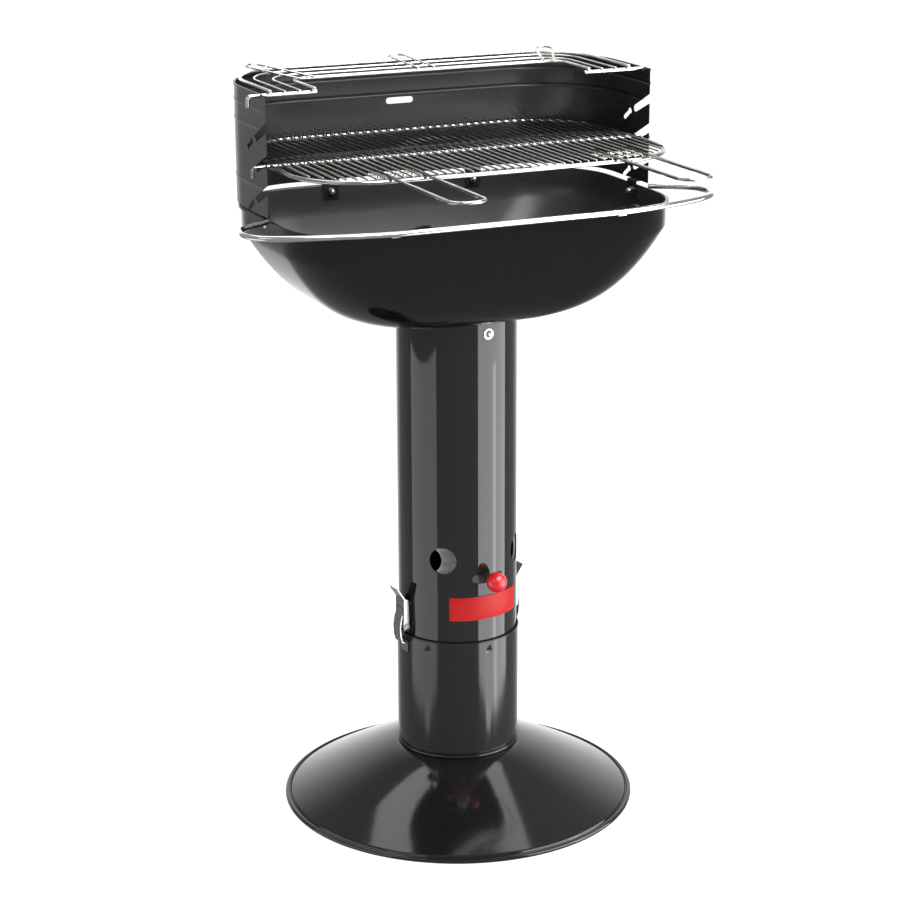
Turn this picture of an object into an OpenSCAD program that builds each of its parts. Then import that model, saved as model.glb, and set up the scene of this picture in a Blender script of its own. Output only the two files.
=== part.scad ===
// Charcoal grill on a round column: pressed base plate, ash pot, column with air holes and a
// turning damper, deep oblong bowl, open-fronted windshield, wire grids and a front rail.
// The column stands on X = Y = 0, the floor is Z = 0 and the front of the bowl looks along -Y.

/* [Base plate] */
// Outside diameter of the base plate over its rolled rim
base_d = 509.4; // [420:0.2:620]
// Height of the flat top of the base plate above the floor
base_h = 84; // [60:1:120]
// Diameter of the flat top of the base plate
base_flat_d = 176; // [172:1:200]
// Thickness of the pressed base sheet
base_t = 1.6; // [1:0.1:3]
// Diameter of the rolled rim bead
rim_bead_d = 8.6; // [6:0.2:12]
// Diameter of the bolt that holds the ash pot to the base plate
base_bolt_d = 8; // [6:1:12]

/* [Ash pot] */
// Height of the ash pot
pot_h = 178; // [120:1:260]
// Sheet thickness of the ash pot
pot_t = 1.5; // [1:0.1:2.5]
// Gap between the column and the ash pot wall
pot_play = 1; // [0.5:0.1:2]
// Diameter of the bead at the foot of the ash pot
pot_bead_d = 5; // [3:0.5:8]
// Diameter of the lip at the top of the ash pot
pot_lip_d = 2.8; // [2:0.1:4]
// Depth that the column goes into the ash pot
pot_overlap = 13; // [8:1:30]
// Number of dimples that the column stands on
dimple_n = 6; // [3:1:8]
// Diameter of each dimple
dimple_d = 7; // [5:0.5:10]

/* [Column] */
// Outside diameter of the column
tube_d = 170; // [150:1:200]
// Wall thickness of the column
tube_t = 1.5; // [1:0.1:2.5]
// Length of the column tube
tube_len = 477.7; // [400:0.1:600]
// Turn of the column against the front of the bowl in degrees
column_turn = 6.5; // [0:0.5:12]
// Diameter of the round air holes
air_d = 39; // [30:0.5:45]
// Height of the air holes above the lower end of the column
air_up = 134; // [126:1:170]
// Angle of the air holes to each side of the column's front and back
air_angle = 45; // [42:1:50]
// Height of the damper slot above the lower end of the column
slot_up = 106; // [100:1:112]
// Height of the damper slot
slot_h = 13; // [10:0.5:16]
// Room of the slot beyond the damper's bush at each end of the swing in degrees
slot_room = 0.6; // [0.4:0.1:2]

/* [Damper] */
// Height of the damper sleeve
damper_h = 76; // [66:1:90]
// Sheet thickness of the damper sleeve
damper_t = 1; // [0.8:0.1:1.5]
// Gap between the damper sleeve and the column
damper_play = 0.3; // [0.2:0.05:0.6]
// Swing of the damper to each side in degrees
damper_swing = 12; // [8:1:14]
// Angle of the sleeve's holes behind the column's holes at rest
damper_lag = 15; // [12:1:18]
// Diameter of the stem that carries the knob
stem_d = 6; // [5:0.5:8]
// Gap between the stem's bush and the slot
bush_play = 0.3; // [0.2:0.05:0.6]
// Diameter of the round knob
knob_d = 29; // [22:0.5:34]
// Distance of the knob's centre outside the column
knob_out = 22; // [18:0.5:30]

/* [Front plate] */
// Height of the bare front plate
plate_h = 35; // [25:0.5:40]
// Height of the front plate above the lower end of the column
plate_up = 45.5; // [35:0.5:50]
// Half the angle that the front plate covers in degrees
plate_half = 38.8; // [30:0.1:45]
// Thickness of the front plate
plate_t = 0.8; // [0.5:0.1:1.2]

/* [Latches] */
// Width of a latch's base plate
latch_w = 18; // [14:0.5:22]
// Height of the lower edge of the latch plate above the lower end of the column
latch_up = 19; // [16:0.5:24]
// Height of the latch plate
latch_h = 32; // [26:0.5:36]
// Sheet thickness of the latch pieces
latch_t = 1.5; // [1:0.1:2]
// Diameter of the latch pins
latch_pin_d = 4; // [3:0.5:5]
// Running gap between a latch pin and its bore
pin_play = 0.05; // [0.02:0.01:0.1]
// Height of the lever's pin above the lower edge of the latch plate
pin_a_up = 8; // [7:0.5:9]
// Distance from the column to the lever's pin
pin_a_out = 6.5; // [6:0.5:8]
// Distance from the lever's pin to the bail's pin
pin_ab = 24; // [22:0.5:26]
// Length of the lever above its pin
lever_len = 58; // [50:1:70]
// Side gap between the latch's cheeks, ears and bail
latch_gap = 0.6; // [0.4:0.1:1]
// Thickness of the bail strap
bail_t = 1.8; // [1.2:0.1:2.2]
// Gap between the bail's foot and the catch
bail_play = 0.3; // [0.2:0.05:0.5]
// Reach of the catch's lip beyond the ash pot
catch_out = 5.7; // [5:0.1:7]

/* [Bowl] */
// Width of the bowl over its hem
bowl_w = 565; // [480:1:640]
// Distance from the column's axis to the front edge of the bowl
bowl_front = 168; // [150:1:200]
// Distance from the column's axis to the back edge of the bowl
bowl_back = 190; // [170:1:220]
// Radius of the bowl's front corners
bowl_rf = 101; // [80:1:120]
// Radius of the bowl's back corners
bowl_rb = 113; // [90:1:125]
// Width of the turned hem around the bowl
hem_w = 4; // [2:0.5:6]
// Height of the turned hem
hem_h = 4; // [3:0.5:6]
// Sheet thickness of the bowl
bowl_t = 1.5; // [1:0.1:2.5]
// Height of the bowl's upright wall below the rim
wall_h = 35; // [25:1:50]
// Depth of the bowl's curved part
dish_h = 118; // [90:1:140]
// Length of the bowl's neck inside the column
neck_len = 34.7; // [28:0.1:45]
// Gap between the neck and the column
neck_play = 0.4; // [0.2:0.05:0.8]
// Number of bolts through the column and the neck
neck_bolt_n = 3; // [3:1:4]
// Depth of these bolts below the top of the column
neck_bolt_down = 17.7; // [14:0.1:22]
// Diameter of all small bolts
bolt_d = 6; // [5:0.5:8]
// Room of a small bolt in its hole, on the radius
bolt_play = 0.25; // [0.1:0.05:0.5]

/* [Charcoal grate] */
// Diameter of the charcoal grate
coal_d = 184; // [178:1:190]
// Wire diameter of the charcoal grate
coal_wire = 4; // [3:0.5:5]
// Spacing of the charcoal grate's wires
coal_pitch = 16; // [12:0.5:24]
// Height of the charcoal grate over the bowl's flat bottom
coal_seat = 0.6; // [0.4:0.1:1]

/* [Windshield] */
// Overhang of the windshield beyond the bowl's hem at each side
shield_over = 2.5; // [1:0.1:6]
// Overhang of the windshield beyond the bowl's back edge
shield_over_back = 3; // [1:0.5:6]
// Distance of the windshield's front edges before the column's axis
shield_front = 29; // [20:1:40]
// Outside radius of the windshield's corners
shield_r = 122; // [110:1:130]
// Sheet thickness of the windshield
shield_t = 1.2; // [1:0.1:2]
// Height of the windshield
shield_h = 162; // [140:1:190]
// Gap between the bowl's rim and the windshield
shield_gap = 5; // [2:0.5:8]
// Diameter of the windshield's rolled top edge
roll_d = 3.6; // [3:0.1:5]
// Diameter of the pressed beads
bead_d = 3.2; // [2.4:0.1:4]
// Heights of the three beads below the top edge
bead_down = [21, 46, 124];
// Heights of the notches' lower ends below the top edge
notch_down = [61.5, 102.6, 144];
// Width of the sloping grid notches
notch_w = 10; // [8:0.5:12]
// Slope of the grid notches in degrees
notch_slope = 26.6; // [20:0.1:32]
// Depth of the grid notches from the front edge
notch_in = 40; // [38:0.5:45]
// Extra drop of the notches' lower edges at 60 mm from their ends
notch_flare = 3; // [1:0.5:5]
// Width of the slot in the back
back_slot_w = 42; // [30:1:60]
// Height of the slot in the back
back_slot_h = 9; // [6:0.5:14]
// Depth of the back slot below the top edge
back_slot_down = 56; // [30:1:80]
// Width of the tabs that hold the windshield
tab_w = 26; // [20:1:32]
// Depth of the tabs' lower edge below the bowl's rim
tab_down = 22; // [18:1:30]
// Depth of the tab bolts below the bowl's rim
tab_bolt_down = 10; // [9:0.5:11]
// Distance of the back tabs to each side of the middle
tab_x = 111; // [80:1:150]
// Place of the side tabs behind the column's axis
tab_y = 3; // [0:1:20]
// Gap between a tab and the bowl's wall
tab_play = 0.3; // [0.1:0.1:0.6]

/* [Rail] */
// Diameter of the rail around the front
rail_d = 8; // [6:0.5:10]
// Height of the rail's centre above the bowl's rim
rail_up = 1; // [0:0.5:2]
// Distance from the bowl's front edge to the rail's centre
rail_out = 9; // [8.5:0.5:14]
// Reach of the rail's side loops beyond the bowl
rail_loop = 64; // [50:1:90]
// Distance of the two front lugs from the middle
lug_x = 165; // [120:1:168]
// Distance of the left peg from the middle
peg_left = 112; // [80:1:150]
// Distance of the right peg from the middle
peg_right = 193; // [120:1:200]
// Diameter of the pegs
peg_d = 6; // [5:0.5:8]

/* [Cooking grid] */
// Diameter of the grid's frame wire
frame_d = 6; // [5:0.5:8]
// Diameter of the grid's thin wires
wire_d = 2.8; // [2:0.1:4]
// Number of thin wires
wire_n = 44; // [20:1:52]
// Distance from the frame wire's side to the outermost thin wire
wire_edge = 11.28; // [6:0.02:16]
// Gap between the frame wire's centre and the windshield's inner face
grid_gap = 12.8; // [8:0.1:20]
// Gap at the back between the frame wire's centre and the windshield
grid_gap_back = 5.8; // [5:0.1:10]
// Distance from the column's axis to the front of the frame wire
grid_front = 172; // [150:1:190]
// Bow of the frame's front edge
grid_bow = 3; // [1:0.5:8]
// Gap between the crossbar and the notch's lower edge
seat_play = 0.3; // [0.1:0.1:0.6]
// Diameter of the crossbar that rests in the notches
cross_d = 5; // [4:0.5:6]
// Distance of the crossbar before the column's axis
cross_front = 6; // [4:0.5:8]
// Reach of the crossbar's ends beyond the windshield
cross_out = 12; // [8:1:20]
// Drop of the crossbar's turned-down ends
cross_drop = 14; // [8:1:20]
// Wire diameter of the two handles
handle_d = 5; // [4:0.5:6]
// Width of a handle in spacings of the thin wires
handle_gaps = 4; // [2:2:6]
// Place of the left handle in spacings of the thin wires
handle_left = -12; // [-14:1:-8]
// Place of the right handle in spacings of the thin wires
handle_right = 15; // [8:1:15]
// Wire diameter of the handles' short cross ties
tie_d = 4; // [3:0.5:5]
// Reach of the left handle before the frame
handle_out_left = 194; // [140:1:230]
// Reach of the right handle before the frame
handle_out_right = 180; // [140:1:230]
// Length of the handles' legs behind the frame's front wire
handle_in = 62; // [40:1:90]

/* [Warming rack] */
// Diameter of the rack's outer and inner wires
rack_d = 5; // [4:0.5:6]
// Diameter of the rack's thin wires and loops
rack_thin_d = 3; // [2.5:0.1:4]
// Shift of the loosely seated rack to the left
rack_shift = 6; // [0:0.5:7]
// Height of the rack's outer wire above the windshield's top edge
rack_up = 2.2; // [1.8:0.1:3]
// Distance of the rack's end bars before the column's axis
rack_front = 8; // [4:0.5:20]
// Gap between the rack's outer wire and the windshield's outer side
rack_gap = 19; // [15:0.5:30]
// Step from each of the four wires to the next at the sides
rack_step = 20.8; // [16:0.1:24]
// Distances from the windshield's back to the four wires
rack_back = [8, 37, 69, 112];
// Reach of the end bars' hooks beyond the windshield
rack_hook_out = 11; // [10:0.5:16]
// Drop of the hooks outside the windshield
rack_hook_drop = 15; // [10:0.5:25]

/* [View] */
// Which piece to show: all or one name

/* [Hidden] */
$fn = 48;

// heights, from the floor up
pot_z = base_h;
pot_top = pot_z + pot_h;
tube_z = pot_top - pot_overlap;
tube_top = tube_z + tube_len;
dish_z = tube_top + 0.3;
rim_z = dish_z + dish_h + wall_h;
shield_z = rim_z + shield_gap;
shield_top = shield_z + shield_h;

// radii about the column's axis
tube_r = tube_d / 2;
tube_ri = tube_r - tube_t;
pot_ri = tube_r + pot_play;
pot_r = pot_ri + pot_t;
sleeve_r = tube_ri - damper_play;
neck_r = tube_ri - neck_play;
bush_d = slot_h - 2 * bush_play;
knob_r = tube_r + knob_out;
bush_half = asin(bush_d / 2 / tube_r);
slot_half = damper_swing + bush_half + slot_room;
slot_z = tube_z + slot_up;
air_z = tube_z + air_up;
hole_d = bolt_d + 2 * bolt_play;
washer_t = 1;
face_gap = 0.1;
nut_t = 5;

// bowl and windshield outlines
bowl_half = bowl_w / 2;
shield_half = bowl_half + shield_over;
shield_back = bowl_back + shield_over_back;
shield_in = shield_half - shield_t;
shield_in_back = shield_back - shield_t;
wall_in = hem_w + bowl_t;

// latch places, seen in the latch's own frame: out from the axis, along the column, up
latch_z = tube_z + latch_up;
pin_a = [tube_r + pin_a_out, latch_z + pin_a_up];
pin_b = [tube_r + pin_a_out + 0.5, latch_z + pin_a_up + pin_ab];
ear_half = latch_w / 2;
cheek_in = ear_half + 2 * latch_gap;
cheek_out = cheek_in + latch_t;
lip_z = pot_top - 10;
latch_angle = 90;

// cooking grid and rack
grid_half = shield_in - grid_gap;
wire_pitch = 2 * (grid_half - wire_edge) / (wire_n - 1);
grid_back = shield_in_back - grid_gap_back;
cross_y = -cross_front;
notch_y = notch_in - shield_front;
low_slope = tan(notch_slope) - notch_flare / (60 * cos(notch_slope));
low_z = shield_top - notch_down[1] - notch_w / 2 * cos(notch_slope) + low_slope * (notch_y - notch_w / 2 * sin(notch_slope) - cross_y);
cross_z = low_z + (cross_d / 2 + seat_play) / cos(atan(low_slope));
grid_z = cross_z + cross_d / 2 + wire_d / 2;
frame_z = grid_z - wire_d / 2 - frame_d / 2;
handle_z = frame_z + frame_d / 2 + handle_d / 2;
rack_z = shield_top + rack_up;
bar_z = rack_z - rack_d;
bar_y = -rack_front;
rack_half = shield_half - rack_gap;

function unit(v) = v / norm(v);
function bend(a, p, b, r) = r * tan(acos(max(-1, min(1, unit(p - a) * unit(b - p)))) / 2);

// a straight round rod from a to b
module rod(a, b, d) {
    v = b - a;
    translate(a) rotate([0, acos(v[2] / norm(v)), atan2(v[1], v[0])]) cylinder(h = norm(v), d = d);
}

// a round bend of radius r at corner p, between the rods from a and to b
module elbow(a, p, b, r, d) {
    u = unit(p - a);
    w = unit(b - p);
    n = unit(cross(u, w));
    e = -cross(n, u);
    c = p - u * bend(a, p, b, r) - e * r;
    multmatrix([[e[0], u[0], n[0], c[0]], [e[1], u[1], n[1], c[1]], [e[2], u[2], n[2], c[2]], [0, 0, 0, 1]])
        rotate_extrude(angle = acos(max(-1, min(1, u * w)))) translate([r, 0]) circle(d = d);
}

// a bent wire through the points pts, with bend radii r
module wire(pts, r, d, closed = false) {
    n = len(pts);
    t = [for (i = [0:n - 1]) closed || (i > 0 && i < n - 1)
        ? bend(pts[(i + n - 1) % n], pts[i], pts[(i + 1) % n], is_list(r) ? r[i] : r) : 0];
    union() {
        for (i = [0:closed ? n - 1 : n - 2]) {
            a = pts[i];
            b = pts[(i + 1) % n];
            if (norm(b - a) - t[i] - t[(i + 1) % n] > 0.01)
                rod(a + unit(b - a) * t[i], b - unit(b - a) * t[(i + 1) % n], d);
        }
        for (i = [0:n - 1]) if (t[i] > 0.001)
            elbow(pts[(i + n - 1) % n], pts[i], pts[(i + 1) % n], is_list(r) ? r[i] : r, d);
    }
}

// the centre line of a bent wire: its corners rounded by arcs of radius r
function arc_points(a, p, b, r) = let (u = unit(p - a), w = unit(b - p), th = acos(max(-1, min(1, u * w))))
    th < 0.5 ? [p] : let (n = unit(cross(u, w)), e = -cross(n, u), c = p - u * bend(a, p, b, r) - e * r, k = max(1, ceil(th / 11)))
    [for (j = [0:k]) c + r * (e * cos(th * j / k) + u * sin(th * j / k))];
function centre_line(pts, r, closed) = let (n = len(pts)) [for (i = [0:n - 1]) each closed || (i > 0 && i < n - 1)
    ? arc_points(pts[(i + n - 1) % n], pts[i], pts[(i + 1) % n], is_list(r) ? r[i] : r) : [pts[i]]];

// a wire swept along such a centre line, for bends that lie at free angles
module swept(corners, r, d, sides = 12, closed = false) {
    pts = centre_line(corners, r, closed);
    n = len(pts);
    points = [for (i = [0:n - 1]) let (
        t0 = (i > 0 || closed) ? unit(pts[i] - pts[(i + n - 1) % n]) : unit(pts[1] - pts[0]),
        t1 = (i < n - 1 || closed) ? unit(pts[(i + 1) % n] - pts[i]) : t0,
        t = unit(t0 + t1), side = unit(cross(t, [0, 0, 1])), up = cross(side, t))
        for (k = [0:sides - 1]) pts[i] + d / 2 * (side * cos(k * 360 / sides) + up * sin(k * 360 / sides))];
    walls = [for (i = [0:closed ? n - 1 : n - 2], k = [0:sides - 1]) let (
        a = i * sides + k, b = i * sides + (k + 1) % sides, c = ((i + 1) % n) * sides + (k + 1) % sides, e = ((i + 1) % n) * sides + k)
        each [[a, b, c], [a, c, e]]];
    ends = closed ? [] : [[for (k = [sides - 1:-1:0]) k], [for (k = [0:sides - 1]) (n - 1) * sides + k]];
    polyhedron(points, concat(walls, ends), convexity = 10);
}

// turns the outward X axis to the angle a, counted from the front towards +X
module turn(a) { rotate([0, 0, a - 90]) children(); }

// a piece of a round wall, half the angle h to each side
module sector(r0, r1, z0, z1, h) {
    rotate([0, 0, -h]) rotate_extrude(angle = 2 * h, $fn = 96)
        translate([r0, z0]) square([r1 - r0, z1 - z0]);
}

// a bolt along +X from its head's seat: washer, domed head and shank
module bolt_x(seat, shank, head_d) {
    rotate([0, 90, 0]) {
        translate([0, 0, -shank]) cylinder(h = shank, d = bolt_d);
        intersection() {
            cylinder(h = head_d / 2, d = head_d);
            translate([0, 0, -head_d * 0.28]) sphere(d = head_d * 1.15);
        }
    }
}

module base_plate() {
    r0 = base_flat_d / 2;
    r1 = base_d / 2 - rim_bead_d * 0.9;
    zr = rim_bead_d * 0.8;
    top = [for (i = [0:12]) let (s = i / 12) [r0 + (r1 - r0) * s, zr + (base_h - zr) * (1 - pow(s, 1.15))]];
    color("#17181a") difference() {
        union() {
            rotate_extrude($fn = 128) polygon(concat([[0, base_h]], top,
                [for (i = [12:-1:0]) top[i] - [0, base_t]], [[0, base_h - base_t]]));
            rotate_extrude($fn = 128) translate([(base_d - rim_bead_d) / 2, rim_bead_d / 2 - 0.2]) circle(d = rim_bead_d);
        }
        translate([0, 0, base_h - base_t - 1]) cylinder(h = base_t + 2, d = base_bolt_d + 2 * bolt_play);
        translate([0, 0, -5]) cylinder(h = 5, d = base_d + 10);
    }
}

module base_bolt() {
    color("#8f9397") {
        translate([0, 0, pot_z + pot_t]) cylinder(h = base_bolt_d * 0.55, d = base_bolt_d * 2);
        translate([0, 0, pot_z - base_t - base_bolt_d]) cylinder(h = base_bolt_d + base_t + pot_t, d = base_bolt_d);
    }
}

module base_nut() {
    color("#8f9397") translate([0, 0, pot_z - base_t - base_bolt_d * 0.8]) difference() {
        cylinder(h = base_bolt_d * 0.8, d = base_bolt_d * 1.8, $fn = 6);
        translate([0, 0, -1]) cylinder(h = base_bolt_d + 2, d = base_bolt_d, $fn = 48);
    }
}

module ash_pot() {
    color("#17181a") difference() {
        union() {
            translate([0, 0, pot_z]) cylinder(h = pot_t, r = pot_r, $fn = 96);
            translate([0, 0, pot_z]) rotate_extrude($fn = 96) {
                translate([pot_ri, 0]) square([pot_t, pot_h - pot_lip_d / 2]);
                translate([pot_ri + pot_t - pot_bead_d / 2 + 1, pot_bead_d / 2]) circle(d = pot_bead_d);
                translate([pot_ri + pot_lip_d / 2, pot_h - pot_lip_d / 2]) circle(d = pot_lip_d);
            }
            for (i = [0:dimple_n - 1]) turn(column_turn + i * 360 / dimple_n)
                translate([pot_ri - 3, 0, tube_z - dimple_d / 2]) rotate([0, 90, 0]) cylinder(h = 3.2, d = dimple_d);
        }
        translate([0, 0, pot_z - 1]) cylinder(h = pot_t + 2, d = base_bolt_d + 2 * bolt_play);
        for (i = [0:dimple_n - 1]) turn(column_turn + i * 360 / dimple_n)
            translate([pot_ri - 1.5, 0, tube_z - dimple_d / 2]) rotate([0, 90, 0]) cylinder(h = 6, d = dimple_d - 3);
    }
}

module catches() {
    h = asin(ear_half / pot_r);
    color("#9a9da0") for (s = [-1, 1]) turn(column_turn + s * latch_angle) {
        sector(pot_r + face_gap, pot_r + latch_t, lip_z - 16, lip_z + 2, h);
        intersection() {
            sector(pot_r + latch_t, pot_r + catch_out, lip_z, lip_z + 2, h + 2);
            translate([0, -ear_half, lip_z - 1]) cube([pot_r * 2, latch_w, 4]);
        }
    }
}

module column_tube() {
    color("#17181a") difference() {
        translate([0, 0, tube_z]) difference() {
            cylinder(h = tube_len, r = tube_r, $fn = 96);
            translate([0, 0, -1]) cylinder(h = tube_len + 2, r = tube_ri, $fn = 96);
        }
        for (a = [-1, 1], b = [0, 180]) turn(column_turn + a * air_angle + b)
            translate([tube_r - 10, 0, air_z]) rotate([0, 90, 0]) cylinder(h = 20, d = air_d);
        turn(column_turn) {
            sector(tube_r - 10, tube_r + 10, slot_z - slot_h / 2, slot_z + slot_h / 2, slot_half - asin(slot_h / 2 / tube_r));
            for (s = [-1, 1]) rotate([0, 0, s * (slot_half - asin(slot_h / 2 / tube_r))])
                translate([tube_r - 10, 0, slot_z]) rotate([0, 90, 0]) cylinder(h = 20, d = slot_h);
        }
        for (i = [0:neck_bolt_n - 1]) turn(column_turn + i * 360 / neck_bolt_n)
            translate([tube_r - 10, 0, tube_top - neck_bolt_down]) rotate([0, 90, 0]) cylinder(h = 20, d = hole_d);
    }
}

module damper_sleeve() {
    color("#a9adb0") difference() {
        translate([0, 0, air_z - 14 - damper_h / 2]) difference() {
            cylinder(h = damper_h, r = sleeve_r, $fn = 96);
            translate([0, 0, -1]) cylinder(h = damper_h + 2, r = sleeve_r - damper_t, $fn = 96);
        }
        for (a = [-1, 1], b = [0, 180]) turn(column_turn + a * air_angle + b - damper_lag)
            translate([tube_r - 15, 0, air_z]) rotate([0, 90, 0]) cylinder(h = 30, d = air_d);
        turn(column_turn) translate([tube_r - 15, 0, slot_z]) rotate([0, 90, 0]) cylinder(h = 30, d = stem_d);
    }
}

module damper_stem() {
    color("#8f9397") turn(column_turn) translate([sleeve_r - damper_t - nut_t - 1, 0, slot_z]) rotate([0, 90, 0])
        cylinder(h = knob_r - (sleeve_r - damper_t - nut_t - 1), d = stem_d);
}

module damper_nut() {
    color("#8f9397") turn(column_turn) difference() {
        translate([sleeve_r - damper_t - nut_t - 0.2, 0, slot_z]) rotate([0, 90, 0]) cylinder(h = nut_t, d = stem_d * 1.8, $fn = 6);
        translate([sleeve_r - damper_t - nut_t - 2, 0, slot_z]) rotate([0, 90, 0]) cylinder(h = nut_t + 4, d = stem_d);
    }
}

module damper_bush() {
    color("#26282a") turn(column_turn) difference() {
        translate([sleeve_r, 0, slot_z]) rotate([0, 90, 0]) cylinder(h = knob_r - knob_d / 2 * cos(asin(bush_d / knob_d)) - sleeve_r, d = bush_d);
        translate([sleeve_r - 1, 0, slot_z]) rotate([0, 90, 0]) cylinder(h = knob_out + 10, d = stem_d);
        translate([knob_r, 0, slot_z]) sphere(d = knob_d);
    }
}

module damper_knob() {
    color("#c81e26") turn(column_turn) difference() {
        translate([knob_r, 0, slot_z]) sphere(d = knob_d);
        translate([knob_r - knob_d, 0, slot_z]) rotate([0, 90, 0]) cylinder(h = knob_d, d = stem_d);
    }
}

module front_plate() {
    color("#d11f27") turn(column_turn) sector(tube_r + face_gap, tube_r + face_gap + plate_t, tube_z + plate_up, tube_z + plate_up + plate_h, plate_half);
}

module latch_plates() {
    h = asin(ear_half / (tube_r + latch_t));
    color("#c3c6c8") for (s = [-1, 1]) turn(column_turn + s * latch_angle) {
        sector(tube_r + face_gap, tube_r + latch_t, latch_z, latch_z + latch_h, h);
        for (e = [-1, 1]) difference() {
            intersection() {
                translate([tube_r - 1, e > 0 ? ear_half - latch_t : -ear_half, latch_z]) cube([11, latch_t, latch_h / 2]);
                difference() {
                    cylinder(h = 2000, r = tube_r + 10, $fn = 96);
                    cylinder(h = 2000, r = tube_r + latch_t / 2, $fn = 96);
                }
            }
            translate([pin_a[0], -latch_w, pin_a[1]]) rotate([-90, 0, 0]) cylinder(h = 2 * latch_w, d = latch_pin_d);
        }
    }
}

module lever_pins() {
    color("#aeb1b3") for (s = [-1, 1]) turn(column_turn + s * latch_angle) translate([pin_a[0], 0, pin_a[1]]) rotate([-90, 0, 0]) {
        translate([0, 0, -cheek_out - 1.6]) cylinder(h = 2 * cheek_out + 3.2, d = latch_pin_d);
        for (e = [-1, 1]) translate([0, 0, e > 0 ? cheek_out + bail_play : -cheek_out - bail_play - 1.3]) cylinder(h = 1.3, d = latch_pin_d * 1.7);
    }
}

module lever(s) {
    tip = pin_a[1] + lever_len;
    color("#cfd2d4") turn(column_turn + s * latch_angle) {
        for (e = [-1, 1]) difference() {
            union() {
                translate([0, e > 0 ? cheek_out : -cheek_in, 0]) rotate([90, 0, 0]) linear_extrude(latch_t)
                    polygon([[pin_a[0] - 4.7, pin_a[1]], [pin_a[0] - 3.5, pin_a[1] + 39], [pin_a[0] + 3.5, pin_a[1] + 42], [pin_a[0] + 4.9, pin_a[1]]]);
                translate([pin_a[0], e > 0 ? cheek_in : -cheek_out, pin_a[1]]) rotate([-90, 0, 0]) cylinder(h = latch_t, r = 5);
            }
            translate([pin_a[0], -latch_w, pin_a[1]]) rotate([-90, 0, 0]) cylinder(h = 2 * latch_w, d = latch_pin_d + 2 * pin_play);
            translate([pin_b[0], -latch_w, pin_b[1]]) rotate([-90, 0, 0]) cylinder(h = 2 * latch_w, d = latch_pin_d);
        }
        translate([0, cheek_out, 0]) rotate([90, 0, 0]) linear_extrude(2 * cheek_out)
            polygon([[pin_a[0] + 2.6, pin_a[1] + 30], [pin_a[0] + 2.2, pin_a[1] + 42], [pin_a[0] + 13, tip],
                [pin_a[0] + 14.6, tip - 0.6], [pin_a[0] + 3.9, pin_a[1] + 41.4], [pin_a[0] + 4.2, pin_a[1] + 30]]);
    }
}

module bail_pin(s) {
    color("#aeb1b3") turn(column_turn + s * latch_angle) translate([pin_b[0], -cheek_out, pin_b[1]]) rotate([-90, 0, 0])
        cylinder(h = 2 * cheek_out, d = latch_pin_d);
}

module bail(s) {
    w = 2 * (cheek_in - latch_gap);
    foot = lip_z - bail_play - bail_t;
    a = pin_a[0];
    color("#cfd2d4") turn(column_turn + s * latch_angle) difference() {
        union() {
            translate([pin_b[0], -w / 2, pin_b[1]]) rotate([-90, 0, 0]) cylinder(h = w, d = latch_pin_d + 4);
            translate([0, w / 2, 0]) rotate([90, 0, 0]) linear_extrude(w) polygon([
                [pin_b[0] + 1, pin_b[1] - 4], [a + 6.1, pin_a[1] + 11], [a + 8.1, pin_a[1] - 1], [a + 7.2, lip_z + 9],
                [a + 4.9, lip_z + 1], [a + 2.2, foot + bail_t], [pot_r + 2.2, foot + bail_t], [pot_r + 2.2, foot],
                [a + 3, foot], [a + 6.5, lip_z - 0.2], [a + 9, lip_z + 8.6], [a + 9.9, pin_a[1] - 1],
                [a + 7.9, pin_a[1] + 12], [pin_b[0] + 3.4, pin_b[1] - 1]]);
        }
        translate([pin_b[0], -latch_w, pin_b[1]]) rotate([-90, 0, 0]) cylinder(h = 2 * latch_w, d = latch_pin_d + 2 * pin_play);
    }
}

module left_lever() { lever(-1); }
module right_lever() { lever(1); }
module left_bail_pin() { bail_pin(-1); }
module right_bail_pin() { bail_pin(1); }
module left_bail() { bail(-1); }
module right_bail() { bail(1); }

module neck_bolts() {
    color("#b4b7b9") for (i = [0:neck_bolt_n - 1]) turn(column_turn + i * 360 / neck_bolt_n)
        translate([tube_r + washer_t, 0, tube_top - neck_bolt_down]) bolt_x(0, tube_r + washer_t - neck_r + bowl_t + nut_t, 10);
}

module neck_washers() {
    color("#b4b7b9") for (i = [0:neck_bolt_n - 1]) turn(column_turn + i * 360 / neck_bolt_n) difference() {
        translate([tube_r, 0, tube_top - neck_bolt_down]) rotate([0, 90, 0]) cylinder(h = washer_t, d = 15);
        translate([tube_r - 1, 0, tube_top - neck_bolt_down]) rotate([0, 90, 0]) cylinder(h = washer_t + 2, d = hole_d);
    }
}

module neck_nuts() {
    color("#b4b7b9") for (i = [0:neck_bolt_n - 1]) turn(column_turn + i * 360 / neck_bolt_n) difference() {
        translate([neck_r - bowl_t - nut_t - 0.5, 0, tube_top - neck_bolt_down]) rotate([0, 90, 0]) cylinder(h = nut_t, d = bolt_d * 1.8, $fn = 6);
        translate([neck_r - bowl_t - nut_t - 2, 0, tube_top - neck_bolt_down]) rotate([0, 90, 0]) cylinder(h = nut_t + 4, d = bolt_d);
    }
}

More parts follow.
